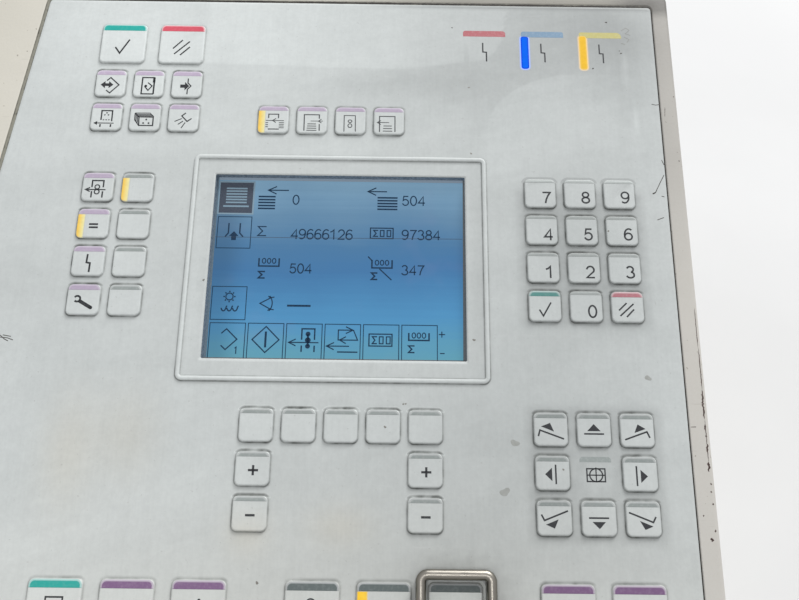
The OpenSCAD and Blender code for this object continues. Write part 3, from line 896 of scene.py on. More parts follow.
# ---------------------------------------------------------------- keys
# From the skirt on the foil, through the crease, up the wall and on to the level top: how
# far outside the foot, and how high
KEY_PROFILE = np.array([
    [1.40, 0.010], [0.85, 0.014], [0.45, 0.016], [0.22, 0.012], [0.06, 0.020], [-0.06, 0.14],
    [-0.18, 0.36], [-0.38, 0.74], [-0.52, 0.93], [-0.70, 1.04], [-0.95, 1.09], [-1.30, 1.10], [-1.80, 1.10],
])
# For the same rings: dirt and painted shade in the crease, share of the foil's dirt and painted shade, dirt
# and painted shade above the key
CREASE_DEPTH = np.array([0.0, 0.10, 0.32, 0.85, 1.0, 1.0, 0.72, 0.26, 0.06, 0.0, 0.0, 0.0, 0.0])
SKIRT_SHARE = np.array([1.0, 1.0, 1.0, 1.0, 1.0, 1.0, 0.9, 0.6, 0.4, 0.25, 0.1, 0.0, 0.0])
BEYOND_DEPTH = np.array([0.05, 0.60, 1.0, 1.0, 1.0, 1.0, 1.0, 1.0, 0.70, 0.0, 0.0, 0.0, 0.0])
# Painted highlight on the upper shoulder of these groups' keys: by how many levels it is lighter
SHOULDER_PAINTED_HIGHLIGHT = {"screen_keys": 18.0, "plus_keys": 14.0, "minus_keys": 14.0, "side_soft_keys": 8.0}
TOP_LIFT = 6.0
# Painted shade over the upper edge of the number pad's first row, in levels
FIRST_ROW_PAINTED_SHADE = 16.0
KEY_CORNER_POINTS = 10
KEY_SIDE_POINTS = 5
RING_COUNT = 4 * (KEY_CORNER_POINTS + KEY_SIDE_POINTS)
RIM_WIDTH = 0.75
# Dirt and painted shade along a key's sides: how much deeper below it, and paler at its left and right, where
# the light falls
CREASE_BELOW = 0.12
CREASE_LEFT = 0.12
CREASE_RIGHT = 0.28
ABOVE_GAIN = 1.55
CREASE_MEAN = 0.84
CREASE_WAVER = 0.30
FIRST_ROW_EDGE = 6.4
# Rows of a colour bar from its foot up, closer together over the shoulder
BAR_SHARES = np.array([0.0, 0.06, 0.12, 0.25, 0.40, 0.52, 0.62, 0.70, 0.77, 0.84, 0.92, 1.0])


def from_square(x, y, half, radius):
    """Distance outside a square with round corners, negative inside it.

    With q the distances beyond the corners' middles it is |max(q, 0)| + min(max q, 0) - r.
    """
    qx = np.abs(x) - (half - radius)
    qy = np.abs(y) - (half - radius)
    return np.hypot(np.maximum(qx, 0), np.maximum(qy, 0)) + np.minimum(np.maximum(qx, qy), 0) - radius


def upper_edge(x, half, radius):
    """Height of such a square's upper edge at x: half - r + sqrt(r^2 - q^2)."""
    beyond = np.maximum(np.abs(x) - (half - radius), 0)
    return half - radius + np.sqrt(np.maximum(radius ** 2 - beyond ** 2, 0))


def key_height(x, y, side):
    """Height of a key over the foil at x, y from its middle.

    The distance to the foot's outline, a square with round corners, is looked up in
    the wall's profile.
    """
    distance = from_square(x, y, side / 2, KEY_CORNER)
    return np.interp(-distance, -KEY_PROFILE[:, 0], KEY_PROFILE[:, 1])


def key_surface(side):
    """An embossed key: the foot's outline carried in and up through the wall's profile."""
    square = rectangle(side, side)
    rings = [outline(square, KEY_CORNER, offset, KEY_CORNER_POINTS, KEY_SIDE_POINTS)
             for offset in KEY_PROFILE[:, 0]]
    return ring_stack(rings, KEY_PROFILE[:, 1], top=True)


def bar_surface(side, low, inset):
    """A colour bar across the top of a key, draped over its shoulder, with its marks.

    Columns run from side to side, closer together at the corners. Each reaches from
    the level y = side / 2 - low up to the rounded top outline. The rim mark is 1 within
    the rim's width of the top and side edges, the foot mark 1 at the lower edge.
    """
    half = side / 2 - inset
    radius = KEY_CORNER - inset + 0.3
    across = half * np.sin(np.linspace(-np.pi / 2, np.pi / 2, 41))
    foot = side / 2 - low
    y = foot + BAR_SHARES[:, None] * (upper_edge(across, half, radius) - foot)
    x = np.broadcast_to(across, y.shape)
    z = key_height(x, y, side) + INK_LIFT
    # The rim mark carries the painted highlight over the shoulder
    rim = soft_step(RIM_WIDTH + from_square(x, y, half, radius), 0.35)
    darker = np.clip(1 - (y - foot) / 0.3, 0, 1)
    return grid_surface(np.stack([x, y, z], axis=2)), {"rim": rim.ravel(), "foot": darker.ravel()}


def crease_marks(points, side, strength, above):
    """Dirt and painted shade in the crease of one key, by its profile's depth and by the side of the key.

    It is deepest below and paler at the right and left, as painted shade; above the key it
    lies on the foil beyond the foot, where the viewer sees it over the key's shoulder.
    """
    x, y = points[:, 0], points[:, 1]
    reach = side / 2 - 1.5
    sides = (1 + CREASE_BELOW * soft_step(-y - reach, 2.0) - CREASE_LEFT * soft_step(-x - reach, 2.0)
             - CREASE_RIGHT * soft_step(x - reach, 2.0))
    depth = strength * sides * np.repeat(CREASE_DEPTH, RING_COUNT)
    upper_side = soft_step(y - side / 2 + 0.75, 0.3)
    beyond = min(ABOVE_GAIN * above, 1) * upper_side * np.repeat(BEYOND_DEPTH, RING_COUNT)
    return np.maximum(depth, beyond)


def first_row(y):
    """1 over the upper edge of the number pad's first row, whose bars are worn away and whose edge is drawn
    flat: less crease, and a painted shade that hides its shoulder's highlight.
    """
    return soft_step(y - (NUMBER_PAD[1] + 1.5 * KEY_PITCH + FIRST_ROW_EDGE), 0.5)


def keys(name, places, side, strength, above):
    """A group of keys of one size, standing for the CAD node of that name."""
    key = key_surface(side)
    surface = joined([moved(key, x + KEY_SHIFT[0], y + KEY_SHIFT[1]) for x, y in places])
    points = surface[0]
    # Over the number pad's first row the keys take the foil's full dirt and painted shade, a painted shade
    # over the shoulder and less crease
    worn = first_row(points[:, 1]) * (name == "number_keys")
    share = np.maximum(np.tile(np.repeat(SKIRT_SHARE, RING_COUNT), len(places)), worn)
    shoulder = np.tile(soft_step(key[0][:, 1] - side / 2 + 1.3, 0.3), len(places))
    # Painted light in the lift: a lighter key where it stands in shade, and a painted highlight on some upper
    # shoulders
    lift = TOP_LIFT * (1 - share) + PAINTED_LIGHT_LIFTS.get(name, 0.0) + SHOULDER_PAINTED_HIGHLIGHT.get(name, 0.0) * shoulder
    marks = foil_marks(points, share, lift - FIRST_ROW_PAINTED_SHADE * worn)
    # Crease mark: dirt and painted shade round each key
    dirt_and_shade = np.tile(crease_marks(key[0], side, strength, above), len(places))
    uneven = CREASE_MEAN + CREASE_WAVER * mottle(points[:, 0], points[:, 1], 8.0)
    marks["crease"] = np.clip(dirt_and_shade * uneven * (1 - 0.9 * worn), 0, 1)
    piece(name + "_caps", surface, KEY_FOIL, replaces=(name,), marks=marks)


def shifted(middle, x, y=0.0):
    """A middle moved by x and y."""
    return (middle[0] + x, middle[1] + y)


PLACES = {
    "confirm_key": np.array([shifted(TOP_PAIR, -BIG_PITCH / 2)]),
    "cancel_key": np.array([shifted(TOP_PAIR, BIG_PITCH / 2)]),
    "program_keys": grid_places(PROGRAM_BLOCK, 3, 2, KEY_PITCH),
    "infeed_keys": grid_places(INFEED_ROW, 4, 1, KEY_PITCH),
    "function_keys": grid_places(shifted(FUNCTION_BLOCK, -KEY_PITCH / 2), 1, 4, KEY_PITCH),
    "side_soft_keys": grid_places(shifted(FUNCTION_BLOCK, KEY_PITCH / 2), 1, 4, KEY_PITCH),
    "number_keys": np.concatenate([
        grid_places(shifted(NUMBER_PAD, 0, KEY_PITCH / 2), 3, 3, KEY_PITCH),
        [shifted(NUMBER_PAD, 0, -1.5 * KEY_PITCH)],
    ]),
    "number_confirm_key": np.array([shifted(NUMBER_PAD, -KEY_PITCH, -1.5 * KEY_PITCH)]),
    "number_cancel_key": np.array([shifted(NUMBER_PAD, KEY_PITCH, -1.5 * KEY_PITCH)]),
    "screen_keys": grid_places(SCREEN_ROW, 5, 1, SCREEN_PITCH),
    "plus_keys": grid_places(shifted(STEP_PAIR, 0, KEY_PITCH / 2), 2, 1, STEP_SPAN),
    "minus_keys": grid_places(shifted(STEP_PAIR, 0, -KEY_PITCH / 2), 2, 1, STEP_SPAN),
    "direction_keys": np.delete(grid_places(DIRECTION_PAD, 3, 3, KEY_PITCH), 4, axis=0),
    "left_run_keys": grid_places((LEFT_RUN_X, BOTTOM_Y), 3, 1, BIG_PITCH),
    "drive_keys": grid_places((DRIVE_RUN_X - BIG_PITCH / 2, BOTTOM_Y), 2, 1, BIG_PITCH),
    "guarded_key": np.array([(DRIVE_RUN_X + BIG_PITCH, BOTTOM_Y)]),
    "right_run_keys": grid_places((RIGHT_RUN_X, BOTTOM_Y), 2, 1, BIG_PITCH),
}
BIG_KEYS = ("confirm_key", "cancel_key", "left_run_keys", "drive_keys", "guarded_key", "right_run_keys")
# How dark the crease round each group is drawn, dirt and painted shade: round it, and above it
CREASES = {
    "confirm_key": (0.62, 0.1), "cancel_key": (0.65, 0.1), "program_keys": (0.95, 0.60),
    "infeed_keys": (0.90, 0.35), "function_keys": (0.98, 0.80), "side_soft_keys": (0.95, 0.75),
    "number_keys": (1.0, 0.75), "number_confirm_key": (1.0, 0.75), "number_cancel_key": (1.0, 0.75),
    "screen_keys": (0.92, 0.70), "plus_keys": (0.88, 0.65), "minus_keys": (0.92, 0.75),
    "direction_keys": (1.0, 0.60), "left_run_keys": (0.60, 0.25), "drive_keys": (0.65, 0.30),
    "guarded_key": (0.40, 0.1), "right_run_keys": (0.80, 0.35),
}


def side_of(name):
    """Side of the keys in a group."""
    return BIG_KEY_SIDE if name in BIG_KEYS else KEY_SIDE


# Painted light: keys that stand in the shade of their surroundings, made lighter by these levels so that they
# look as bright as the others
PAINTED_LIGHT_LIFTS = {"guarded_key": 32.0}

for group, places in PLACES.items():
    keys(group, places, side_of(group), *CREASES[group])

# Colour bars: name, ink and slot, then the groups and keys that wear them, and how far
# below the foot's top edge they end
BARS = (
    ("bars_green", INK_TEAL, "print_green", (("confirm_key", [0], 4.35), ("left_run_keys", [0], 4.2))),
    ("bars_small_green", INK_DULL_TEAL, "print_green", (("number_confirm_key", [0], 3.2),)),
    ("bars_red", INK_RED, "print_red", (("cancel_key", [0], 4.35),)),
    ("bars_small_red", INK_PINK, "print_red", (("number_cancel_key", [0], 3.2),)),
    ("bars_lilac", INK_LILAC, "print_lilac", (
        ("program_keys", range(6), 3.3), ("infeed_keys", range(4), 3.0), ("function_keys", range(4), 3.35))),
    ("bars_purple", INK_PURPLE, "print_lilac", (
        ("left_run_keys", [1, 2], 4.2), ("right_run_keys", [0, 1], 4.2))),
    ("bars_slate", INK_SLATE, "print_grey", (("drive_keys", [0, 1], 4.2), ("guarded_key", [0], 4.2))),
    ("bars_faint", INK_FAINT, "print_grey", (("number_keys", range(10), 2.3),)),
    ("bars_grey", INK_GREY, "print_grey", (
        ("side_soft_keys", range(4), 3.0), ("screen_keys", range(5), 2.85), ("plus_keys", range(2), 2.85),
        ("minus_keys", range(2), 2.85), ("direction_keys", range(8), 3.0))),
)
# How far the bars lie inside the keys' feet: in the named groups, and in the others
INSETS = {
    "program_keys": 0.50, "infeed_keys": 0.45, "function_keys": 0.50, "number_keys": 0.50,
    "number_confirm_key": 0.50, "number_cancel_key": 0.50, "confirm_key": 0.45, "cancel_key": 0.45,
}
SMALL_INSET = 0.65
BIG_INSET = 0.50
# How much paler a worn bar is, and the share of the foil's dirt and painted shade on every bar
WORN_GAIN = 18.0
BAR_GRIME_AND_SHADE = 0.3


def all_bars(groups):
    """The bars of one ink as one surface, with their marks one after another."""
    surfaces = []
    marks = {"rim": [], "foot": []}
    for group, numbers, low in groups:
        inset = INSETS.get(group, BIG_INSET if group in BIG_KEYS else SMALL_INSET)
        surface, own = bar_surface(side_of(group), low, inset)
        for number in numbers:
            surfaces.append(moved(surface, *(PLACES[group][number] + KEY_SHIFT)))
            marks["rim"].append(own["rim"])
            marks["foot"].append(own["foot"])
    return joined(surfaces), {mark: np.concatenate(values) for mark, values in marks.items()}


for name, ink, slot, groups in BARS:
    surface, marks = all_bars(groups)
    worn = first_row(surface[0][:, 1]) * (name == "bars_faint")
    marks["tone"] = foil_marks(surface[0], BAR_GRIME_AND_SHADE + 0.8 * worn, WORN_GAIN * worn)["tone"]
    marks["foot"] = marks["foot"] * (1 - worn)
    piece(name, surface, ink, marks=marks)

# ---------------------------------------------------------------- symbols on the keys
# Each drawing is a list of strokes and areas round the middle of its key
FINE = 0.5
CHECK = [line([-4.1, -2.4], [-1.5, -6.1], [3.1, 2.4], width=0.86)]
SLASHES = [
    line([-4.7, -2.8], [0.2, 2.6]), line([-3.8, -6.2], [4.0, 1.7]), line([-0.6, -6.8], [4.3, -1.7]),
]
SWAP_ARROW = [
    line([-2.1, 1.6], [-0.3, 3.4], [4.4, -0.9], [0.0, -5.8], [-2.0, -4.2], width=0.66),
    area([-5.2, -0.9], [-2.8, 1.2], [-2.8, -0.1], [-0.9, -0.1], [-0.9, 1.2], [1.5, -0.9],
         [-0.9, -3.0], [-0.9, -1.7], [-2.8, -1.7], [-2.8, -3.0]),
]
SHEET_CODE = [
    line([2.9, 3.7], [-3.5, 3.7], [-3.5, -6.1], [2.9, -6.1]), line([2.8, 3.8], [2.8, -6.2], width=0.84),
    area([2.0, 3.8], [3.3, 3.8], [3.3, 0.8], [2.0, 0.8]),
    line([-0.5, 0.7], [1.8, -1.3], [-0.1, -4.0], [-2.1, -1.5], width=0.62), dot(-1.5, -1.4, 0.75),
]
PUSH_IN = [
    area([-3.4, -0.2], [-1.0, -0.2], [-1.0, 1.4], [1.3, -1.1], [-1.0, -3.7], [-1.0, -2.1], [-3.4, -2.1]),
    line([0.5, 3.5], [0.5, 0.8], [2.2, -1.0], [0.5, -3.0], [0.5, -6.0], width=0.62),
]
SHEET_OUT = [
    line([-2.6, -1.9], [-2.6, 3.6], [2.9, 3.6], [3.0, -2.6], width=0.72),
    dot(0.1, 2.3, 0.4), dot(-0.9, 1.1, 0.4), dot(1.0, 1.1, 0.4),
    *strokes(FINE, *[([x, -1.8], [x + 0.8, -1.8]) for x in (-1.7, -0.3, 1.1)], ([-6.0, -3.7], [4.2, -3.7])),
    area([-6.3, -3.7], [-4.4, -2.6], [-4.4, -4.8]),
    line([-2.7, -4.3], [-2.7, -6.0]), line([2.7, -4.3], [2.7, -6.0]),
]
SHEET_PILE = [
    line([-3.1, 0.2], [4.3, 0.2], [4.4, -4.8], [-2.8, -4.8], width=0.66, closed=True),
    dot(0.8, -1.3, 0.5), dot(-0.6, -3.4, 0.5), dot(2.2, -3.4, 0.5),
    *strokes(FINE, ([-3.9, 0.9], [3.7, 0.9]), ([-4.6, 1.6], [3.1, 1.6]),
             ([-5.3, 2.4], [2.4, 2.5], [4.5, 0.4]), ([-5.3, 2.4], [-5.2, -1.6], [-2.9, -4.7]),
             ([-4.6, 1.6], [-4.5, -2.6]), ([-3.9, 0.9], [-3.7, -3.5])),
    line([-5.3, 2.4], [-3.2, 0.2], width=0.62),
]
WASH = [
    line([1.0, 2.9], [-1.0, 1.1], [2.0, -2.1], [4.2, -0.3], width=0.62),
    *strokes(FINE, ([-4.5, -2.2], [-0.8, -0.4]), ([-2.6, -3.9], [-0.1, -1.9]), ([-0.8, -6.0], [1.1, -2.7])),
]
BOLT = [line([-0.6, 3.6], [-0.8, -0.8], [1.0, -1.1], [0.9, -5.8], width=0.90)]
EQUALS = strokes(0.95, ([-2.0, -0.4], [2.5, -0.4]), ([-1.9, -2.1], [2.6, -2.1]))
UNIT_THROW_OFF = [
    line([-3.0, -0.2], [-3.0, 3.5], [2.7, 3.5], [2.7, -0.2]), line([-5.3, -1.5], [4.0, -1.5], width=0.62),
    line([-3.9, -0.4], [-6.1, -1.5], [-3.8, -2.6], width=0.62),
    loop(-0.3, 0.0, 1.15, 1.15, 0.6), loop(-0.3, -2.7, 1.2, 1.2, 0.6),
    line([-2.9, -2.4], [-2.9, -5.9]), line([2.6, -2.4], [2.6, -5.9]),
]
WRENCH = [
    line(*arc(-2.9, 0.4, 1.45, 1.45, 150, -140, 18), width=0.95),
    line([-2.0, -0.5], [4.0, -4.0], width=1.75), dot(4.0, -4.0, 0.88),
]
FEED_FRAME = [
    *strokes(0.6, ([-2.6, 0.9], [-2.6, 3.2], [2.5, 3.2], [2.5, 0.9]), ([-2.7, -5.5], [3.0, -5.5])),
    *strokes(0.42, ([-4.9, -0.5], [5.4, -0.5]),
             *[([2.9, y], [5.5, y]) for y in (-1.7, -2.7, -3.7, -4.7)]),
    *strokes(0.48, ([1.3, 0.7], [-0.5, -0.5], [1.3, -1.7]),
             *[([-4.9, y], [-2.7, y]) for y in (-1.8, -3.0, -4.2)]),
]


def fan(count, left, right, top, step, spread):
    """Level strokes, one step under another, each a spread wider on both sides."""
    return strokes(0.48, *[([left - spread * n, top - step * n], [right + spread * n, top - step * n])
                           for n in range(count)])


FRAME_IN = [
    *strokes(0.6, ([-4.0, -6.2], [-4.1, 3.2], [3.7, 3.2], [3.7, 0.9]), ([3.8, -2.2], [3.9, -6.1])),
    line([-0.7, -0.5], [5.6, -0.5], width=0.36), line([4.9, 0.6], [3.3, -0.5], [4.9, -1.6], width=0.42),
    *fan(4, -2.3, 2.1, -2.2, 1.25, 0.13),
]
FRAME_ROLLS = [
    line([-3.3, -6.4], [-3.4, 3.0], [2.4, 3.0], [2.6, -6.3], width=0.48),
    loop(-0.3, -0.3, 0.95, 0.75, 0.5), loop(-0.3, -2.9, 1.0, 1.1, 0.5),
]
FRAME_OUT = [
    line([-4.9, -6.4], [-5.0, 2.8], [3.0, 2.8], [3.1, -6.2], width=0.55),
    *strokes(0.42, ([-5.9, -0.8], [0.0, -0.8]), ([-4.3, 0.4], [-6.1, -0.8], [-4.3, -2.0])),
    *fan(3, -2.9, 1.4, -2.8, 1.5, 0.15),
]
SMALL_CHECK = [line([-2.9, -1.7], [-1.1, -4.9], [2.8, 2.0])]
SMALL_SLASHES = [
    line([-4.4, -1.6], [-0.5, 2.2]), line([-3.9, -4.4], [2.8, 1.8]), line([-0.8, -4.9], [2.9, -1.0]),
]
DIRECTIONS = (
    [area([-4.6, 1.4], [-0.4, 3.1], [1.3, -0.9]), line([-6.0, -3.1], [-5.2, -0.3], [5.8, -4.3])],
    [area([-0.2, 2.8], [-3.3, -0.5], [2.9, -0.5]), line([-4.8, -1.8], [4.4, -1.8])],
    [area([0.2, 2.9], [3.8, 0.8], [-1.5, -1.1]), line([-6.0, -4.3], [4.3, -0.5], [5.5, -3.3])],
    [area([-3.6, -0.5], [-0.4, 2.5], [-0.4, -3.6]), line([1.3, 3.9], [1.3, -4.9])],
    [area([0.0, 2.0], [3.2, -0.9], [0.0, -3.9]), line([-1.8, 3.7], [-1.8, -5.3])],
    [area([-4.1, -2.8], [1.6, -0.5], [-0.2, -4.5]), line([-6.0, 1.6], [-4.7, -1.0], [6.0, 3.3])],
    [area([-3.2, -1.4], [2.8, -1.4], [-0.1, -4.5]), line([-4.7, 0.3], [4.3, 0.3])],
    [area([-1.9, -0.7], [4.0, -3.1], [0.3, -4.6]), line([-6.6, 2.9], [4.1, -1.3], [5.4, 1.1])],
)
PLUS = strokes(1.05, ([-2.0, -0.7], [2.6, -0.7]), ([0.3, 1.6], [0.3, -3.0]))
MINUS = [line([-2.0, -0.7], [2.3, -0.7], width=1.05)]
ROLLER_SPEED = [line([-3.6, -4.4], [-3.6, 4.3], [3.8, 4.3], [3.8, -4.4]), loop(0.1, -1.6, 1.9, 1.9)]
RUN_DOT = [dot(0.4, 3.6, 0.7)]
RUN_ROLL = [loop(-0.6, 2.7, 2.0, 2.0, 0.7)]


def on_keys(drawings, places):
    """Drawings laid on the level tops of keys, one on each place."""
    return [
        moved(shape, place[0], place[1], KEY_HEIGHT + INK_LIFT)
        for drawing, place in zip(drawings, places)
        for shape in drawing
    ]


def number_drawings():
    """The ten figures, each in the lower right of its key."""
    places = dict(zip("7894561230", [
        (0.7, -5.3), (0.55, -5.0), (0.5, -4.7), (0.9, -5.4), (0.8, -5.1), (0.7, -4.8),
        (0.9, -5.4), (0.7, -5.1), (0.3, -4.9), (0.6, -5.4),
    ]))
    return [figures(figure, x, y, 6.2, 0, 0.86, 0.95) for figure, (x, y) in places.items()]


KEY_DRAWINGS = {
    "confirm_key": [CHECK],
    "cancel_key": [SLASHES],
    "program_keys": [SWAP_ARROW, SHEET_CODE, PUSH_IN, SHEET_OUT, SHEET_PILE, WASH],
    "function_keys": [UNIT_THROW_OFF, EQUALS, BOLT, WRENCH],
    "number_keys": number_drawings(),
    "number_confirm_key": [SMALL_CHECK],
    "number_cancel_key": [SMALL_SLASHES],
    "direction_keys": DIRECTIONS,
    "plus_keys": [PLUS, PLUS],
    "minus_keys": [MINUS, MINUS],
    "left_run_keys": [ROLLER_SPEED, [], RUN_DOT],
    "drive_keys": [RUN_ROLL],
}
key_symbols = [
    shape for group, drawings in KEY_DRAWINGS.items() for shape in on_keys(drawings, PLACES[group])]
printed("key_symbols", key_symbols, INK)
infeed_symbols = on_keys([FEED_FRAME, FRAME_IN, FRAME_ROLLS, FRAME_OUT], PLACES["infeed_keys"])
printed("infeed_symbols", infeed_symbols, INK_SOFT)

# ---------------------------------------------------------------- prints on the flat foil
GLOBE = [
    line([-4.3, 2.4], [4.0, 2.4], [4.0, -3.4], [-4.3, -3.4], width=0.62, closed=True),
    loop(-0.1, -0.5, 2.95, 2.95, 0.6), line([-4.3, -0.5], [4.0, -0.5], width=0.54),
    line([-0.1, 3.0], [-0.1, -3.6], width=0.54),
]


def on_foil(drawing, x, y):
    """A drawing laid on the flat foil."""
    return [moved(shape, x, y, INK_LIFT) for shape in drawing]


STATUS_WIDTH = 22.8
status_x = [STATUS_ROW[0] + number * BIG_PITCH - STATUS_WIDTH / 2 for number in (-1, 0, 1)]
status_bolt = [line([10.5, -5.6], [10.5, -11.3], [12.4, -11.5], [12.4, -17.2])]
for name, x, right, ink, slot in (
    ("status_bar_red", status_x[0], 1.6, INK_DULL_RED, "print_red"),
    ("status_bar_blue", status_x[1], 1.3, INK_BLUE, "lamp_blue"),
    ("status_bar_yellow", status_x[2], 2.6, INK_YELLOW, "lamp_amber"),
):
    bar = on_foil([tab(0.0, -1.7, STATUS_WIDTH, 1.9, 1.3, right)], x, STATUS_ROW[1])
    printed(name, bar, ink)
foil_symbols = on_foil(GLOBE, *DIRECTION_PAD)
foil_symbols += [shape for x in status_x for shape in on_foil(status_bolt, x, STATUS_ROW[1])]
printed("foil_symbols", foil_symbols, INK)
flat_bar = on_foil([tab(-7.4, 5.4, 7.1, 7.8, 1.6, 1.6)], *DIRECTION_PAD)
printed("flat_key_bar", flat_bar, INK_GREY)

# ---------------------------------------------------------------- lamps
LENS_PROFILE = np.array([[0.0, 0.0], [0.0, 0.05], [-0.15, 0.11], [-0.5, 0.14], [-0.9, 0.15], [-1.3, 0.15]])
# The lit bars: their width on small and large keys, and how far they lie inside the foot
LED_REACH = 3.9
WIDE_REACH = 5.2
LED_INSET = 0.35
LENS_CORNER = 1.4
LENS_CORNER_POINTS = 9
LENS_SIDE_POINTS = 8
LENS_COUNT = 4 * (LENS_CORNER_POINTS + LENS_SIDE_POINTS)


def lens_rings(x0, y0, x1, y1, radius, offsets):
    """Outlines round a lens: a rectangle with round corners, moved out by each offset."""
    corners = rectangle(x1 - x0, y1 - y0, ((x0 + x1) / 2, (y0 + y1) / 2))
    return [outline(corners, radius, offset, LENS_CORNER_POINTS, LENS_SIDE_POINTS) for offset in offsets]


def lens(name, bounds, material, replaced):
    """A thin lens: its outline carried in and up, closed on top, brightest in the middle."""
    surface = ring_stack(
        lens_rings(*bounds, LENS_CORNER, LENS_PROFILE[:, 0]), LENS_PROFILE[:, 1], top=True)
    share = np.interp(-LENS_PROFILE[:, 0], [0.0, 0.35, 1.0], [0.0, 0.45, 1.0])
    piece(name, surface, material, replaces=(replaced,), marks={"middle": np.repeat(share, LENS_COUNT)})


def key_light(place, side, low, reach):
    """A light bar draped over a key's left shoulder, from its colour bar to its lower edge.

    Each column at x runs from the rounded lower outline up to y = side / 2 - low; the
    height is the key's own. The across mark goes from 0 at the key's edge to 1.
    """
    half = side / 2 - LED_INSET
    share = np.linspace(0, 1, 15)
    x = -half + share * reach
    foot = -upper_edge(x, half, KEY_CORNER - LED_INSET)
    head = side / 2 - low - 0.15
    y = foot + np.linspace(0, 1, 41)[:, None] * (head - foot)
    x = np.broadcast_to(x, y.shape)
    z = key_height(x, y, side) + 1.5 * INK_LIFT
    surface = moved(grid_surface(np.stack([x, y, z], axis=2)), *(place + KEY_SHIFT))
    return surface, np.broadcast_to(share, y.shape).ravel()


def key_lights(name, places, material, replaces=()):
    """Light bars of one strength as one piece."""
    made = [key_light(*place) for place in places]
    piece(name, joined([surface for surface, across in made]), material, replaces=replaces,
          marks={"across": np.concatenate([across for surface, across in made])})


key_lights("key_lenses", [
    (PLACES["infeed_keys"][0], KEY_SIDE, 3.0, LED_REACH),
    (PLACES["function_keys"][1], KEY_SIDE, 3.35, LED_REACH),
    (PLACES["side_soft_keys"][0], KEY_SIDE, 3.0, LED_REACH),
], LED_AMBER, replaces=("key_lamps",))
key_lights("drive_key_lens", [(PLACES["drive_keys"][1], BIG_KEY_SIDE, 4.2, WIDE_REACH)], LED_STRONG)

HALO_WIDTH = 1.15
HALO_OFFSETS = np.linspace(HALO_WIDTH, 0.0, 7)
BLUE_LENS = (status_x[1] - 0.3, STATUS_ROW[1] - 21.4, status_x[1] + 3.8, STATUS_ROW[1] - 1.3)
YELLOW_LENS = (status_x[2] - 0.2, STATUS_ROW[1] - 21.4, status_x[2] + 3.8, STATUS_ROW[1] - 0.4)


def glow_round(name, bounds, material):
    """Foil round a lit lens that glows with it: rings from the lens out, fading as they go."""
    rings = lens_rings(*bounds, LENS_CORNER, HALO_OFFSETS)
    surface = ring_stack(rings, 0.012 + 0.004 * np.arange(len(rings)) / len(rings))
    marks = foil_marks(surface[0])
    marks["halo"] = np.repeat((1 - HALO_OFFSETS / HALO_WIDTH) ** 1.5, LENS_COUNT)
    piece(name, surface, material, marks=marks)


lens("blue_lens", BLUE_LENS, BLUE, "blue_status_lamp")
lens("yellow_lens", YELLOW_LENS, AMBER, "yellow_status_lamp")
glow_round("blue_lens_glow", BLUE_LENS, FOIL_BLUE_GLOW)
glow_round("yellow_lens_glow", YELLOW_LENS, FOIL_YELLOW_GLOW)
RED_WINDOW = (status_x[0], STATUS_ROW[1] - 21.3, status_x[0] + 3.6, STATUS_ROW[1] - 1.3)
red_lens = ring_stack(lens_rings(*RED_WINDOW, 1.0, (0, -0.3)), (0.0, 0.02), top=True)
piece("red_lens", red_lens, FOIL, replaces=("red_status_lamp",), marks=foil_marks(red_lens[0]))

# ---------------------------------------------------------------- screen
# Pen of the touch fields, squeeze of the figures, pitch and side of the fields
FIELD_PEN = 0.42
SCREEN_FIGURE = 0.90
BOX_PITCH = 18.6
BOX_SIDE = 17.2


def ring_points(x, y, radius, start):
    """Eight points round a circle from a start in degrees, as used for the sun."""
    turns = np.radians(np.arange(start, 360, 45))
    return np.stack([x + radius * np.cos(turns), y + radius * np.sin(turns)], axis=1)


def sum_sign(x, y, width, height, pen=0.6):
    """The sign for a total, from its lower left corner."""
    return line([x + width, y + height], [x, y + height], [x + 0.55 * width, y + 0.5 * height],
                [x, y], [x + width, y], width=pen)


def arrow_left(x0, x1, y, barb=2.1, pen=0.6):
    """An open arrow from x1 back to x0."""
    return [line([x0, y], [x1, y], width=pen),
            line([x0 + 2 * barb, y + barb], [x0, y], [x0 + 2 * barb, y - barb], width=pen)]


def counter(x, y, width=10.0, height=4.2):
    """A tray open at the top with three rounds in it, from its lower left corner."""
    tray = [line([x, y + height], [x, y], [x + width, y], [x + width, y + height], width=0.75)]
    rounds = [loop(x + width * share, y + 0.66 * height, 0.85, 1.3, 0.5) for share in (0.25, 0.5, 0.75)]
    return tray + rounds


def total_box(x, y, width, height):
    """A box with a sum sign and two figures."""
    low = y + 0.2 * height
    tall = 0.58 * height
    box = [line([x, y], [x + width, y], [x + width, y + height], [x, y + height], width=0.6, closed=True),
           sum_sign(x + 1.6, low, 2.3, tall, 0.6)]
    zeros = [line([x + s, low], [x + s + 1.8, low], [x + s + 1.8, low + tall], [x + s, low + tall],
                  width=0.55, closed=True) for s in (5.0, 8.4)]
    return box + zeros


def screen_figures(text, x, y, height, step):
    """Figures as the screen draws them, a little narrow."""
    return figures(text, x, y, height, step, 0.62, SCREEN_FIGURE)


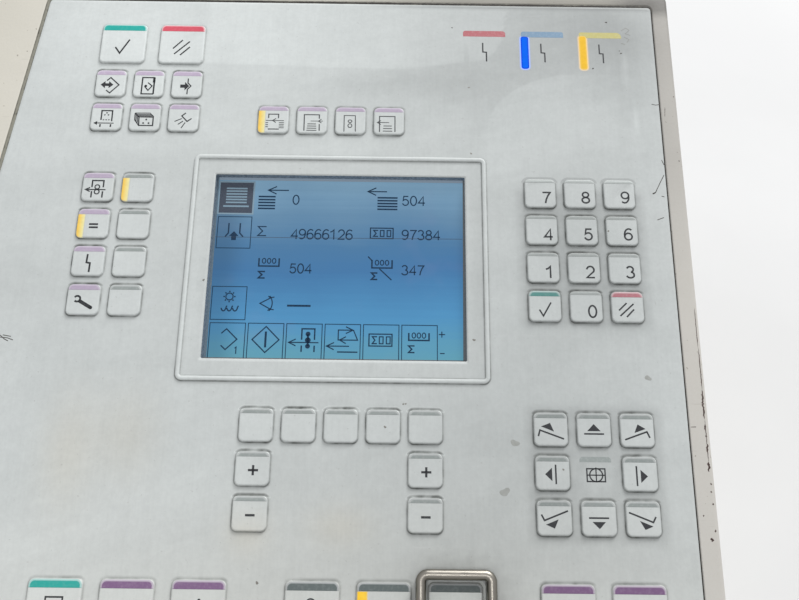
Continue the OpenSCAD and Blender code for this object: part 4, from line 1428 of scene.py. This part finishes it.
screen_symbols = (
    arrow_left(-36.8, -26.4, 41.5)
    + strokes(0.85, *[([-41.6, y], [-33.0, y]) for y in (37.9, 36.2, 34.6, 32.9, 31.3)])
    + screen_figures("0", -24.3, 33.7, 5.3, 0)
    + arrow_left(14.0, 23.7, 41.5)
    + strokes(0.85, *[([18.9, y], [29.1, y]) for y in (38.1, 36.5, 34.9, 33.3, 31.7)])
    + screen_figures("504", 31.4, 33.9, 5.4, 4.05)
    + [sum_sign(-40.8, 16.4, 4.2, 4.9)]
    + screen_figures("49666126", -24.2, 14.8, 5.4, 3.92)
    + total_box(15.7, 15.7, 11.4, 5.6)
    + screen_figures("97384", 31.4, 15.2, 5.3, 3.95)
    + counter(-39.3, 0.1)
    + [sum_sign(-39.2, -6.2, 3.2, 3.4, 0.8)]
    + screen_figures("504", -24.0, -3.5, 5.1, 3.8)
    + counter(16.8, -0.1)
    + [sum_sign(16.7, -6.2, 2.9, 3.4, 0.8)]
    + strokes(0.6, ([14.8, 5.9], [17.0, 3.5]), ([20.6, -0.6], [26.6, -6.4]))
    + screen_figures("347", 31.4, -3.7, 5.2, 3.95)
    + strokes(0.55, ([-30.6, -16.1], [-32.0, -16.3], [-37.5, -19.4], [-32.2, -22.4], [-30.6, -22.6]),
              arc(-37.5, -19.4, 6.0, 6.0, 40, -40, 12))
    + strokes(0.5, ([-33.6, -15.6], [-32.7, -16.4]), ([-33.6, -23.1], [-32.7, -22.3]))
    + [line([-24.2, -20.4], [-12.7, -20.4], width=1.0)]
)
# Machine unit between sheets, and a sun over waves
SUN = (-52.6, -16.1)
screen_symbols += strokes(
    0.7, ([-55.6, 23.0], [-55.6, 17.6], [-57.1, 15.6]), ([-49.9, 23.0], [-49.9, 17.6], [-48.1, 15.6]))
screen_symbols += [
    area([-52.8, 18.6], [-50.4, 16.0], [-51.6, 16.0], [-51.6, 13.8], [-54.0, 13.8], [-54.0, 16.0],
         [-55.2, 16.0]),
    line(*ring_points(*SUN, 1.85, 22.5), width=0.55, closed=True),
]
screen_symbols += strokes(0.65, *zip(ring_points(*SUN, 2.2, 0), ring_points(*SUN, 3.0, 0)))
screen_symbols += [
    line(*arc(x, -21.2, 1.25, 2.3, 200, 350, 8), [x + 1.6, -20.8], width=0.65)
    for x in (-55.1, -52.3, -49.5)
]
# Along the foot: chevron, diamond, press unit, the sheet's path and the last fields
screen_symbols += [
    line([-55.2, -34.9], [-52.8, -32.6], [-47.5, -37.8], [-52.8, -43.0], [-55.1, -40.9], width=0.6),
    line([-48.3, -42.3], [-47.6, -41.7], [-47.6, -45.1], width=0.5),
    line([-33.7, -31.2], [-27.2, -37.8], [-33.7, -44.2], [-40.2, -37.8], width=0.6, closed=True),
    line([-33.7, -33.7], [-33.7, -41.7], width=1.0),
    *strokes(0.7, ([-16.3, -37.6], [-16.3, -32.1], [-10.1, -32.1], [-10.1, -37.6]),
             ([-16.3, -40.5], [-16.3, -43.7]), ([-10.1, -40.5], [-10.1, -43.7])),
    dot(-13.3, -34.7, 1.2), dot(-13.3, -37.8, 1.4), dot(-13.3, -40.8, 1.2),
    area([-13.8, -34.7], [-12.8, -34.7], [-12.8, -40.8], [-13.8, -40.8]),
    line([1.0, -43.5], [10.8, -43.5], width=0.65),
]
screen_symbols += strokes(
    0.55, ([8.0, -32.5], [1.3, -32.5], [1.3, -37.5], [10.7, -37.5], [8.6, -32.5]),
    ([4.9, -30.8], [8.4, -32.5], [4.9, -34.2]), ([5.1, -35.8], [2.0, -37.5], [5.1, -39.3]))
screen_symbols += strokes(
    0.5, ([49.9, -34.1], [53.0, -34.1]), ([51.4, -32.6], [51.4, -35.6]), ([50.5, -43.6], [52.7, -43.6]))
screen_symbols += arrow_left(-22.5, -8.1, -39.0, 1.7, 0.55) + arrow_left(-4.2, 6.7, -40.6, 1.8, 0.55)
screen_symbols += total_box(16.2, -40.3, 11.1, 6.0) + counter(35.4, -37.2, 9.8, 3.7)
screen_symbols += [sum_sign(35.3, -43.3, 2.9, 3.3, 0.7)]


def on_screen(name, drawings, material, layer=1):
    """Drawings laid on the glass, one print layer above another, as a piece of the screen."""
    piece(name, moved(joined(drawings), z=GLASS_LEVEL + layer * INK_LIFT), material, smooth=False)


on_screen("screen_symbols", screen_symbols, SYMBOL, 2)
# Frames of the touch fields at the left and along the foot
field_lines = [
    line([-61.2, y], [-44.3, y], [-44.3, y - 17.0], [-61.2, y - 17.0], width=FIELD_PEN, closed=True)
    for y in (26.5, -10.9)
]
field_lines += [
    line([x, -47.6], [x, -29.6], [x + BOX_SIDE, -29.6], [x + BOX_SIDE, -47.6], width=FIELD_PEN)
    for x in -61.0 + BOX_PITCH * np.arange(6)
]
on_screen("screen_fields", field_lines, FIELD_LINE, 2)
pane_rim = strokes(0.8, ([-61.7, 45.9], [-44.1, 45.9], [-44.1, 28.2], [-61.7, 28.2]), closed=True)
on_screen("screen_pane_rim", pane_rim, PANE_LINE, 2)
on_screen("screen_pane", [area([-61.4, 45.5], [-44.5, 45.5], [-44.5, 28.6], [-61.4, 28.6])], PANE, 2)
pane_lines = strokes(0.85, *[([-58.1, y], [-47.5, y]) for y in (42.2, 40.7, 39.1, 37.5, 36.0, 34.4)])
pane_lines += [line([-59.3, 32.3], [-46.3, 32.3], width=0.9)]
on_screen("screen_pane_lines", pane_lines, PANE_LINE, 3)
on_screen("screen_scratch", [line([-61.9, 15.4], [-20.0, 15.5], [61.9, 15.9], width=0.22)], PANE, 3)
# Unlit margin of the screen: speckled at the left, banded along the top, dark at the right and foot; the top
# one still glows, painted light that lifts it out of the shade cast by the foil's edge
left_margin = area([-66.0, -51.0], [-61.5, -51.0], [-62.3, 51.0], [-66.0, 51.0])
top_margin = area([-62.3, 46.9], [65.0, 46.9], [65.0, 51.0], [-62.3, 51.0])
on_screen("screen_left_margin", [left_margin], SCREEN_EDGE)
on_screen("screen_top_margin", [top_margin], SCREEN_TOP_EDGE)
on_screen("screen_dark_margins", [
    area([62.4, 51.0], [61.6, -51.0], [66.0, -51.0], [66.0, 51.0]),
    area([-64.5, -46.9], [65.0, -46.9], [65.0, -51.0], [-64.5, -51.0]),
], SCREEN_DARK_EDGE, 2)

# ---------------------------------------------------------------- foil, bead, collar, seal and rim
FOIL_ROWS = 90
FOIL_CORNER_POINTS = 4
FOIL_SIDE_POINTS = 170
window_corners = rectangle(
    WINDOW_HIGH[0] - WINDOW_LOW[0], WINDOW_HIGH[1] - WINDOW_LOW[1],
    ((WINDOW_LOW[0] + WINDOW_HIGH[0]) / 2, (WINDOW_LOW[1] + WINDOW_HIGH[1]) / 2))


def foil_surface():
    """The foil as a closed shell: place = outer + s * (window - outer), s going from 0 to 1.

    The edge rows go down to the foil's underside, and the last row joins the first.
    """
    counts = (FOIL_CORNER_POINTS, FOIL_SIDE_POINTS)
    outer = outline(foil_corners(), FOIL_CORNER, 0.0, *counts)
    eased = outline(foil_corners(), FOIL_CORNER, -0.15, *counts)
    window = outline(window_corners, WINDOW_CORNER, 0.0, *counts)
    share = np.linspace(0, 1, FOIL_ROWS)[:, None, None]
    rings = np.concatenate([[outer, outer], eased + share * (window - eased), [window]])
    heights = np.zeros(len(rings))
    heights[[0, 1, -1]] = -FOIL_THICKNESS, -0.12, -0.3 * FOIL_THICKNESS
    return torus_stack(rings, heights)


foil = foil_surface()
piece("keypad_foil_sheet", foil, FOIL, replaces=("keypad_foil",), marks=foil_marks(foil[0]))

half_turn = np.linspace(0, np.pi, 15)
# The bead's skirt: offset from its foot and height; and how deep its creases are, by
# the distance from each foot
BEAD_SKIRT = np.array([[1.3, 0.010], [0.6, 0.014], [0.22, 0.012], [0.05, 0.020]])
BEAD_RISE = 0.72
OUTER_CREASE = ([-1.3, -0.6, -0.22, 0.0, 0.12, 0.35], [0, 0.08, 0.70, 1.0, 0.8, 0])
INNER_CREASE = ([-0.35, -0.12, 0.0, 0.22, 0.6, 1.3], [0, 0.8, 1.0, 0.6, 0.08, 0])
# Painted highlight on the bead's top, in levels
BEAD_PAINTED_HIGHLIGHT = 9.0
# Stretches of the bead's outer crease that are wiped clean
CLEANED = ((-60.0, 60.0), (45.0, 60.0))


def bead_crease(x, y, offsets, count):
    """Dirt and painted shade in the bead's two creases: each one's depth times its darkening along the bead,
    with a painted shadow inside the top right corner.
    """
    outside = 0.45 + 0.45 * soft_step(-y - 52.0, 6.0) + 0.15 * soft_step(x - 70.0, 6.0)
    for middle in CLEANED:
        outside = outside * (1 - 0.8 * cloud(x, y, middle, (22.0, 8.0)))
    inside = 0.62 + 0.3 * cloud(x, y, (72.0, 57.0), (10.0, 8.0)) - 0.15 * soft_step(-x - 60.0, 10.0)
    outer_depth = np.repeat(np.interp(-offsets, *OUTER_CREASE), count)
    inner_depth = np.repeat(np.interp(-offsets - BEAD_WIDTH, *INNER_CREASE), count)
    uneven = 0.85 + 0.2 * mottle(x, y, 12.0)
    return np.clip(uneven * (outer_depth * outside + inner_depth * inside), 0, 1)


def bead():
    """The bead round the screen: a half-round ridge, (r cos, r sin), between two skirts."""
    radius = BEAD_WIDTH / 2
    aside, rise = BEAD_SKIRT.T
    offsets = np.concatenate([aside, radius * (np.cos(half_turn) - 1), -BEAD_WIDTH - aside[::-1]])
    heights = np.concatenate([rise, 0.05 + BEAD_RISE * radius * np.sin(half_turn), rise[::-1]])
    corners = rectangle(*BEAD_SIZE, BEAD_MIDDLE)
    rings = [outline(corners, BEAD_CORNER, offset, 12, 40) for offset in offsets]
    surface = ring_stack(rings, heights)
    count = len(rings[0])
    marks = foil_marks(surface[0], 1.0, BEAD_PAINTED_HIGHLIGHT * np.repeat(heights > 0.4, count))
    marks["crease"] = bead_crease(surface[0][:, 0], surface[0][:, 1], offsets, count)
    piece("display_bead_ridge", surface, KEY_FOIL, replaces=("display_bead",), marks=marks)


bead()

# Painted shade and dark reflection on the collar, ring by ring from its outer foot over the top to the inner
# one
GUARD_PAINTED_SHADE = ([0, 4, 8, 11, 15, 18, 20], [0.9, 0.75, 0.1, 0.1, 0.75, 0.9, 1.0])


def collar():
    """The collar round the guarded key: two legs and a half-round top, (r cos, r sin)."""
    side = BIG_KEY_SIDE + 2 * GUARD_GAP + 2 * GUARD_WIDTH
    radius = GUARD_WIDTH / 2
    shoulder = GUARD_HEIGHT - radius
    leg = np.array([0.0, 0.6, 0.5 * shoulder])
    offsets = np.concatenate([0 * leg, radius * (np.cos(half_turn) - 1), 0 * leg - GUARD_WIDTH])
    heights = np.concatenate([leg, shoulder + radius * np.sin(half_turn), leg[::-1]])
    corners = rectangle(side, side, PLACES["guarded_key"][0])
    rings = [outline(corners, GUARD_CORNER, offset, 14, 6) for offset in offsets]
    soil_and_shade_share = np.repeat(np.interp(np.arange(len(rings)), *GUARD_PAINTED_SHADE), len(rings[0]))
    piece("guard_collar_bar", torus_stack(rings, heights), COLLAR_STEEL,
          replaces=("guard_collar",), marks={"soil_and_shade": soil_and_shade_share})


collar()

# The sealing cord: nearly flush at the top, bulged at the left, sunk and dirty at the right, where painted
# shade darkens it too
SEAL_SHARES = np.array([1.0, 1.0, 0.86, 0.68, 0.5, 0.32, 0.14, 0.0, 0.0])
SEAL_BULGE = np.array([0.0, 0.0, 0.6, 0.9, 1.0, 0.9, 0.6, 0.0, 0.0])
SEAL_LEVEL = -0.42
SEAL_LEFT_RISE = 0.10
SEAL_TOP_RISE = 0.26
SEAL_RIGHT_DROP = 0.35
BULGE_HEIGHT = 0.22


def seal_surface():
    """The cord's skin, rings from the groove's outer side to the foil's edge, and its mark of dirt and
    painted shade.

    Height is the side's level plus a rounded bulge over the width; the first and last
    ring go down into the groove.
    """
    inside = outline(foil_corners(), FOIL_CORNER, 0.0, 6, 90)
    outside = outline(groove_corners(), FOIL_CORNER + GROOVE_WIDTH, 0.0, 6, 90)
    rings = inside + SEAL_SHARES[:, None, None] * (outside - inside)
    x, y = rings[..., 0], rings[..., 1]
    left = soft_step(-x - 155.0, 8.0)
    top = soft_step(y - 148.0, 4.0) * (1 - left)
    right = soft_step(x - 160.0, 4.0) * (1 - top)
    drop = SEAL_RIGHT_DROP * right * soft_step(140.0 - y, 30.0)
    level = SEAL_LEVEL + SEAL_LEFT_RISE * left + SEAL_TOP_RISE * top - drop
    height = level + BULGE_HEIGHT * SEAL_BULGE[:, None] * (0.4 + 0.6 * left)
    height[0] = -0.9 * STACK_DEPTH
    height[-1] = -0.9 * STACK_DEPTH
    sides = np.abs(SEAL_SHARES - 0.5)[:, None] * 2
    uneven = 0.12 * mottle(x, y, 14.0)
    soil_and_shade_share = 0.35 + uneven + 0.40 * left * (sides - 0.55) + 0.75 * right
    soil_and_shade_share = soil_and_shade_share + top * (0.45 * soft_step(0.6 - sides, 0.5) + 0.10)
    return wrapped_surface(np.dstack([rings, height])), {"soil_and_shade": soil_and_shade_share.ravel()}


seal, seal_marks = seal_surface()
piece("frame_seal_cord", seal, RUBBER, replaces=("frame_seal",), marks=seal_marks)

quarter = np.linspace(0, np.pi / 2, 6)
LIP = 0.7
# Painted shade on the right strip at these heights, in levels, and the rim's other tones: painted light on
# the left land and painted shade on the top strip
STRIP_HEIGHTS = (-190.0, -137.0, -26.0, 28.0, 61.0, 95.0, 128.0, 150.0)
STRIP_PAINTED_SHADE = (6.0, 8.0, 6.5, 15.0, 24.0, 25.0, 34.0, 35.0)
LAND_PAINTED_LIGHT = 8.0
TOP_STRIP_SHADE = 44.0


def rim_surface():
    """The frame: up its outer side, over the rounded arris, in to the groove and down the ledge.

    The arris is a quarter round, (r cos - r, r sin - r), and so is the groove's lip.
    """
    outer = np.concatenate([[-0.5, 0.0, 0.0], RIM_EDGE * (np.cos(quarter) - 1)])
    outer_z = np.concatenate([[-RIM_DEPTH, 0.5 - RIM_DEPTH, -RIM_EDGE - 2], RIM_EDGE * (np.sin(quarter) - 1)])
    inner = np.append(LIP * (1 - np.sin(quarter)), 0.0)
    inner_z = LIP * (np.cos(quarter) - 1)
    rings = [outline(rim_corners(), RIM_CORNER, offset, 12, 60) for offset in outer]
    rings += [outline(groove_corners(), FOIL_CORNER + GROOVE_WIDTH, offset, 12, 60) for offset in inner]
    rings += [outline(foil_corners(), FOIL_CORNER, -LEDGE_WIDTH, 12, 60)] * 2
    return torus_stack(rings, np.concatenate([outer_z, inner_z, [-STACK_DEPTH, -STACK_DEPTH, -RIM_DEPTH]]))


def rim_marks(points):
    """Tone of the rim: painted light on the left land; at the right a greyer strip with painted shade that
    lessens towards its foot, and painted shade on the top strip.
    """
    x, y, z = points.T
    right = soft_step(x - 150.0, 20.0)
    level = LAND_PAINTED_LIGHT * soft_step(-x - 120.0, 60.0) - right * np.interp(y, STRIP_HEIGHTS, STRIP_PAINTED_SHADE)
    shaded = soft_step(y - 148.0, 6.0) * soft_step(x - 20.0, 90.0) * soft_step(z + 4.0, 1.0)
    level = level - TOP_STRIP_SHADE * shaded + 1.5 * mottle(x, y, 22.0)
    return {"tone": as_tone(level), "greyed": 0.6 * right}


rim = rim_surface()
piece("face_rim", rim, CREAM, replaces=("face_frame",), marks=rim_marks(rim[0]))

# ---------------------------------------------------------------- wear on the foil and the rim
def rim_level(x):
    """Height of the rim's top near its right arris: level, then the quarter round."""
    into = np.clip(x - (RIM_RIGHT - RIM_EDGE), 0, RIM_EDGE)
    return np.sqrt(RIM_EDGE ** 2 - into ** 2) - RIM_EDGE


def blot(x, y, size, level):
    """A small irregular spot: a circle whose radius wavers with the angle."""
    angle = np.linspace(0, 2 * np.pi, 15)[:-1]
    waver = 1 + 0.22 * np.sin(2 * angle + rng.uniform(0, 6)) + 0.14 * np.sin(3 * angle + rng.uniform(0, 6))
    ring = size * waver
    points = np.stack([x + ring * np.cos(angle), y + 0.85 * ring * np.sin(angle)], axis=1)
    return moved(area(*points), z=level)


def chipped_run(start, end, width):
    """A ragged chip along the arris: a strip whose two edges waver at random.

    Its middle is start + t * (end - start), its half width the given one times a random
    share, drawn in to a point at both ends, and it follows the rim's height.
    """
    count = max(int(2.2 * math.dist(start, end)), 4)
    t = np.linspace(0, 1, count)
    middle = np.array(start) + t[:, None] * (np.array(end) - np.array(start))
    half = 0.5 * width * rng.uniform(0.45, 1.3, (2, count)) * np.minimum(1, 5 * np.minimum(t, 1 - t) + 0.12)
    drift = 0.15 * width * rng.standard_normal(count)
    x = np.stack([middle[:, 0] + drift - half[0], middle[:, 0] + drift, middle[:, 0] + drift + half[1]])
    y = np.broadcast_to(middle[:, 1], x.shape)
    return grid_surface(np.stack([x, y, rim_level(x) + INK_LIFT], axis=2)[::-1])


def blots(spots, level=INK_LIFT):
    """Spots from a table of x, y and size, all at one height."""
    return [blot(x, y, size, level) for x, y, size in spots]


def thin_lines(paths, width):
    """Thin lines on the foil along the paths of a table."""
    return [moved(stroke, z=INK_LIFT) for stroke in strokes(width, *paths)]


# Spots, each by x, y and size: on the foil, black ones, worn-through stains, on the keys
SPOTS = (
    (66.6, -37.7, 0.7), (23.7, -80.7, 0.5), (-30.3, -149.7, 0.7), (33.0, -69.3, 0.45),
    (34.1, -69.2, 0.45), (-65.1, -9.0, 0.6), (66.6, 62.0, 0.55), (66.0, 101.0, 0.5),
)
DARK_SPOTS = (
    (141.2, 142.8, 0.55), (148.0, 123.3, 0.5), (132.4, 113.7, 0.5), (147.2, 124.8, 0.3),
    (57.4, 138.0, 0.4),
)
STAIN_SPOTS = ((84.7, -86.9, 1.85), (79.5, -109.2, 2.15), (148.6, -55.3, 1.45))
KEY_SPOTS = ((24.7, -80.4, 0.6), (134.4, 19.3, 0.5), (106.3, -98.9, 0.5))
worn_spots = blots(SPOTS) + blots(KEY_SPOTS, KEY_HEIGHT + INK_LIFT)
printed("wear_spots", worn_spots, SPOT)
printed("pale_wear_spots", blots(STAIN_SPOTS), PALE_SPOT)
# Cracks in the foil's edges, and a pencil's scribble
CRACKS = (
    ([162.0, 92.4], [164.2, 92.0], [166.2, 92.3]), ([164.6, 59.8], [165.6, 57.0]),
    ([165.1, 51.3], [162.7, 46.8], [160.1, 41.6], [158.4, 40.7]),
    ([160.6, 42.6], [159.9, 41.2], [158.6, 40.4]), ([162.9, 39.4], [164.3, 39.0]),
    ([159.7, 26.2], [163.1, 27.6]),
    ([-159.7, -39.3], [-156.0, -39.7], [-153.3, -40.7]),
    ([-159.8, -38.3], [-157.6, -40.2], [-155.6, -41.2]), ([-158.6, -38.2], [-154.6, -38.9]),
)
dark_spots = blots(DARK_SPOTS) + thin_lines(CRACKS, 0.38)
printed("dark_wear_spots", dark_spots, DARK_SPOT)
SCRIBBLE = (
    ([149.0, 137.5], [151.6, 139.4], [153.4, 137.9], [151.2, 135.8], [153.8, 134.7]),
    ([150.4, 133.6], [153.0, 132.0], [151.6, 130.2]), ([148.4, 129.6], [150.6, 128.9]),
)
printed("pencil_marks", thin_lines(SCRIBBLE, 0.2), SPOT)
# Chips along the right arris: start, end and width
CHIP_RUNS = (
    ((173.9, -20.0), (173.8, -40.2), 0.35), ((173.6, -74.5), (173.4, -95.0), 0.35),
    ((174.0, -40.2), (173.8, -60.7), 0.45), ((173.7, -60.7), (173.4, -74.5), 1.0),
    ((173.5, -76.9), (173.2, -79.7), 0.8), ((173.4, -81.9), (173.4, -83.1), 0.8),
    ((173.7, -86.2), (173.3, -89.9), 0.9), ((173.3, -94.5), (172.9, -99.0), 1.3),
    ((173.5, -103.9), (173.5, -104.9), 0.8), ((173.3, -107.6), (173.3, -108.4), 0.7),
    ((173.5, -112.9), (173.5, -113.9), 0.8), ((173.5, -124.6), (173.5, -125.8), 1.0),
    ((171.3, -128.2), (171.3, -130.0), 1.4), ((168.8, -118.2), (168.8, -119.1), 0.6),
    ((173.9, 97.6), (173.9, 96.8), 0.7), ((168.9, 90.9), (168.4, 85.0), 0.25),
    ((173.5, 59.8), (173.5, 59.0), 0.6),
)
chips = [chipped_run(*run) for run in CHIP_RUNS] + thin_lines([([166.9, -78.4], [169.2, -78.3])], 0.3)
printed("arris_chips", chips, CHIP)

# ---------------------------------------------------------------- housing
slope_sin = math.sin(FACE_SLOPE)
slope_cos = math.cos(FACE_SLOPE)
wall_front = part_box("front_wall")[0][1] / MM
wall_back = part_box("back_wall")[1][1] / MM


def wall_corners():
    """The rim's outline seen from above, drawn in by the overhang, at the walls' ends."""
    right = RIM_RIGHT - OVERHANG + FACE_ORIGIN[0]
    lean = math.tan(SIDE_SLANT) / slope_cos
    front_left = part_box("left_wall")[0][0] / MM
    return np.array([
        [right, wall_front], [right, wall_back],
        [front_left + (wall_back - wall_front) * lean, wall_back], [front_left, wall_front],
    ])


def under_rim(ring):
    """Height of the rim's underside over each point of an outline."""
    y = ring[:, 1] - FACE_ORIGIN[1]
    return FACE_ORIGIN[2] + (slope_sin * y - RIM_DEPTH) / slope_cos


def housing_surface():
    """Folded sheet walls: the outline runs up to the slope, over, and down inside."""
    outer = outline(wall_corners(), WALL_BEND, 0.0, 12, 16)
    eased = outline(wall_corners(), WALL_BEND, -0.4, 12, 16)
    inner = outline(wall_corners(), WALL_BEND, -WALL_THICKNESS, 12, 16)
    low = np.full(len(outer), BASE_THICKNESS)
    half_way = 0.5 * (low + under_rim(outer))
    rows = [(eased, low), (outer, low + 0.4), (outer, half_way), (outer, under_rim(outer)),
            (inner, under_rim(inner)), (inner, low)]
    return wrapped_surface(np.stack([np.column_stack([ring, height]) for ring, height in rows]))


piece("housing_walls", housing_surface(), CREAM, place=upright,
      replaces=("front_wall", "back_wall", "left_wall", "right_wall"))


def on_back(points):
    """Drawings of the back, seen from behind: x to the viewer's right, z outwards."""
    x, y, z = points.T
    return MM * np.column_stack([-x, wall_back + z, COVER_MIDDLE_Z + y])


cover_profile = np.array([
    [0.0, 0.0], [0.0, COVER_THICKNESS - 0.7], [-0.2, COVER_THICKNESS - 0.2], [-0.7, COVER_THICKNESS],
    [-3.0, COVER_THICKNESS],
])
cover_corners = rectangle(*COVER_SIZE)
cover_rings = [outline(cover_corners, COVER_CORNER, offset, 10, 12) for offset in cover_profile[:, 0]]
cover = ring_stack(cover_rings, cover_profile[:, 1], top=True, bottom=True)
piece("service_cover", cover, CREAM, place=on_back, replaces=("rear_cover",))

# ---------------------------------------------------------------- carried-over nodes
for node, material in (
    ("base_plate", ZINC), ("cover_screws", ZINC), ("carrier_plate", CARRIER), ("display_module", MODULE),
    ("display_glass", SCREEN),
):
    finish_node(node, material)

# ---------------------------------------------------------------- floor, light and camera
FLOOR_SIDE = 8.0
floor_mesh = bpy.data.meshes.new("floor")
floor_mesh.from_pydata([(x, y, 0.0) for x, y in rectangle(FLOOR_SIDE, FLOOR_SIDE)], [], [(0, 1, 2, 3)])
floor = bpy.data.objects.new("floor", floor_mesh)
bpy.context.scene.collection.objects.link(floor)
floor_finish = Finish("floor_pale")
floor_tone = floor_finish.ramp(floor_finish.noise(3, 4), 0.3, 0.7)
floor_finish.set(Base_Color=floor_finish.blend(floor_tone, grey(0.70), grey(0.74)), Roughness=0.8)
floor.data.materials.append(floor_finish.material)

world = bpy.data.worlds.new("studio")
bpy.context.scene.world = world
world.use_nodes = True
sky = world.node_tree.nodes["Background"]
sky.inputs["Color"].default_value = (0.975, 0.988, 1.0, 1)
sky.inputs["Strength"].default_value = 0.48


def as_matrix(columns):
    """A matrix from three axes and a place, its four columns."""
    return Matrix([[column[row] for column in columns] for row in range(3)] + [[0, 0, 0, 1]])


def soft_lamp(name, place, aim, width, height, power):
    """A rectangular lamp at a place, turned so that it shines at a point."""
    light = bpy.data.lights.new(name, "AREA")
    light.shape = "RECTANGLE"
    light.size = width
    light.size_y = height
    light.energy = power
    lamp = bpy.data.objects.new(name, light)
    bpy.context.scene.collection.objects.link(lamp)
    away = np.array(place) - np.array(aim)
    away /= np.linalg.norm(away)
    side = np.cross([0.0, 0.0, 1.0], away)
    side /= np.linalg.norm(side)
    lamp.matrix_world = as_matrix([side, np.cross(away, side), away, place])


soft_lamp("window_light", (1.1, 1.9, 2.3), (0.0, 0.0, 0.15), 1.2, 0.9, 71)
soft_lamp("room_light", (-0.2, -1.5, 2.2), (0.0, 0.0, 0.15), 0.8, 0.5, 12)

# The camera, in the face's own axes and millimetres
EYE = np.array([28.83, -156.34, 410.51])
EYE_RIGHT = np.array([0.99990, 0.01123, 0.00831])
EYE_UP = np.array([-0.01330, 0.94757, 0.31926])
EYE_AHEAD = np.array([0.00429, 0.31934, -0.94763])
FOCAL_PIXELS = 892.0
PICTURE_WIDTH = 799.0
SENSOR_WIDTH = 36.0

camera_data = bpy.data.cameras.new("camera")
camera_data.sensor_width = SENSOR_WIDTH
camera_data.lens = SENSOR_WIDTH * FOCAL_PIXELS / PICTURE_WIDTH
camera_data.clip_start = 0.02
camera = bpy.data.objects.new("camera", camera_data)
bpy.context.scene.collection.objects.link(camera)
camera.matrix_world = as_matrix([
    EYE_RIGHT @ FACE_AXES, EYE_UP @ FACE_AXES, -EYE_AHEAD @ FACE_AXES, on_face(EYE)])
bpy.context.scene.camera = camera
bpy.context.scene.view_settings.view_transform = "Standard"
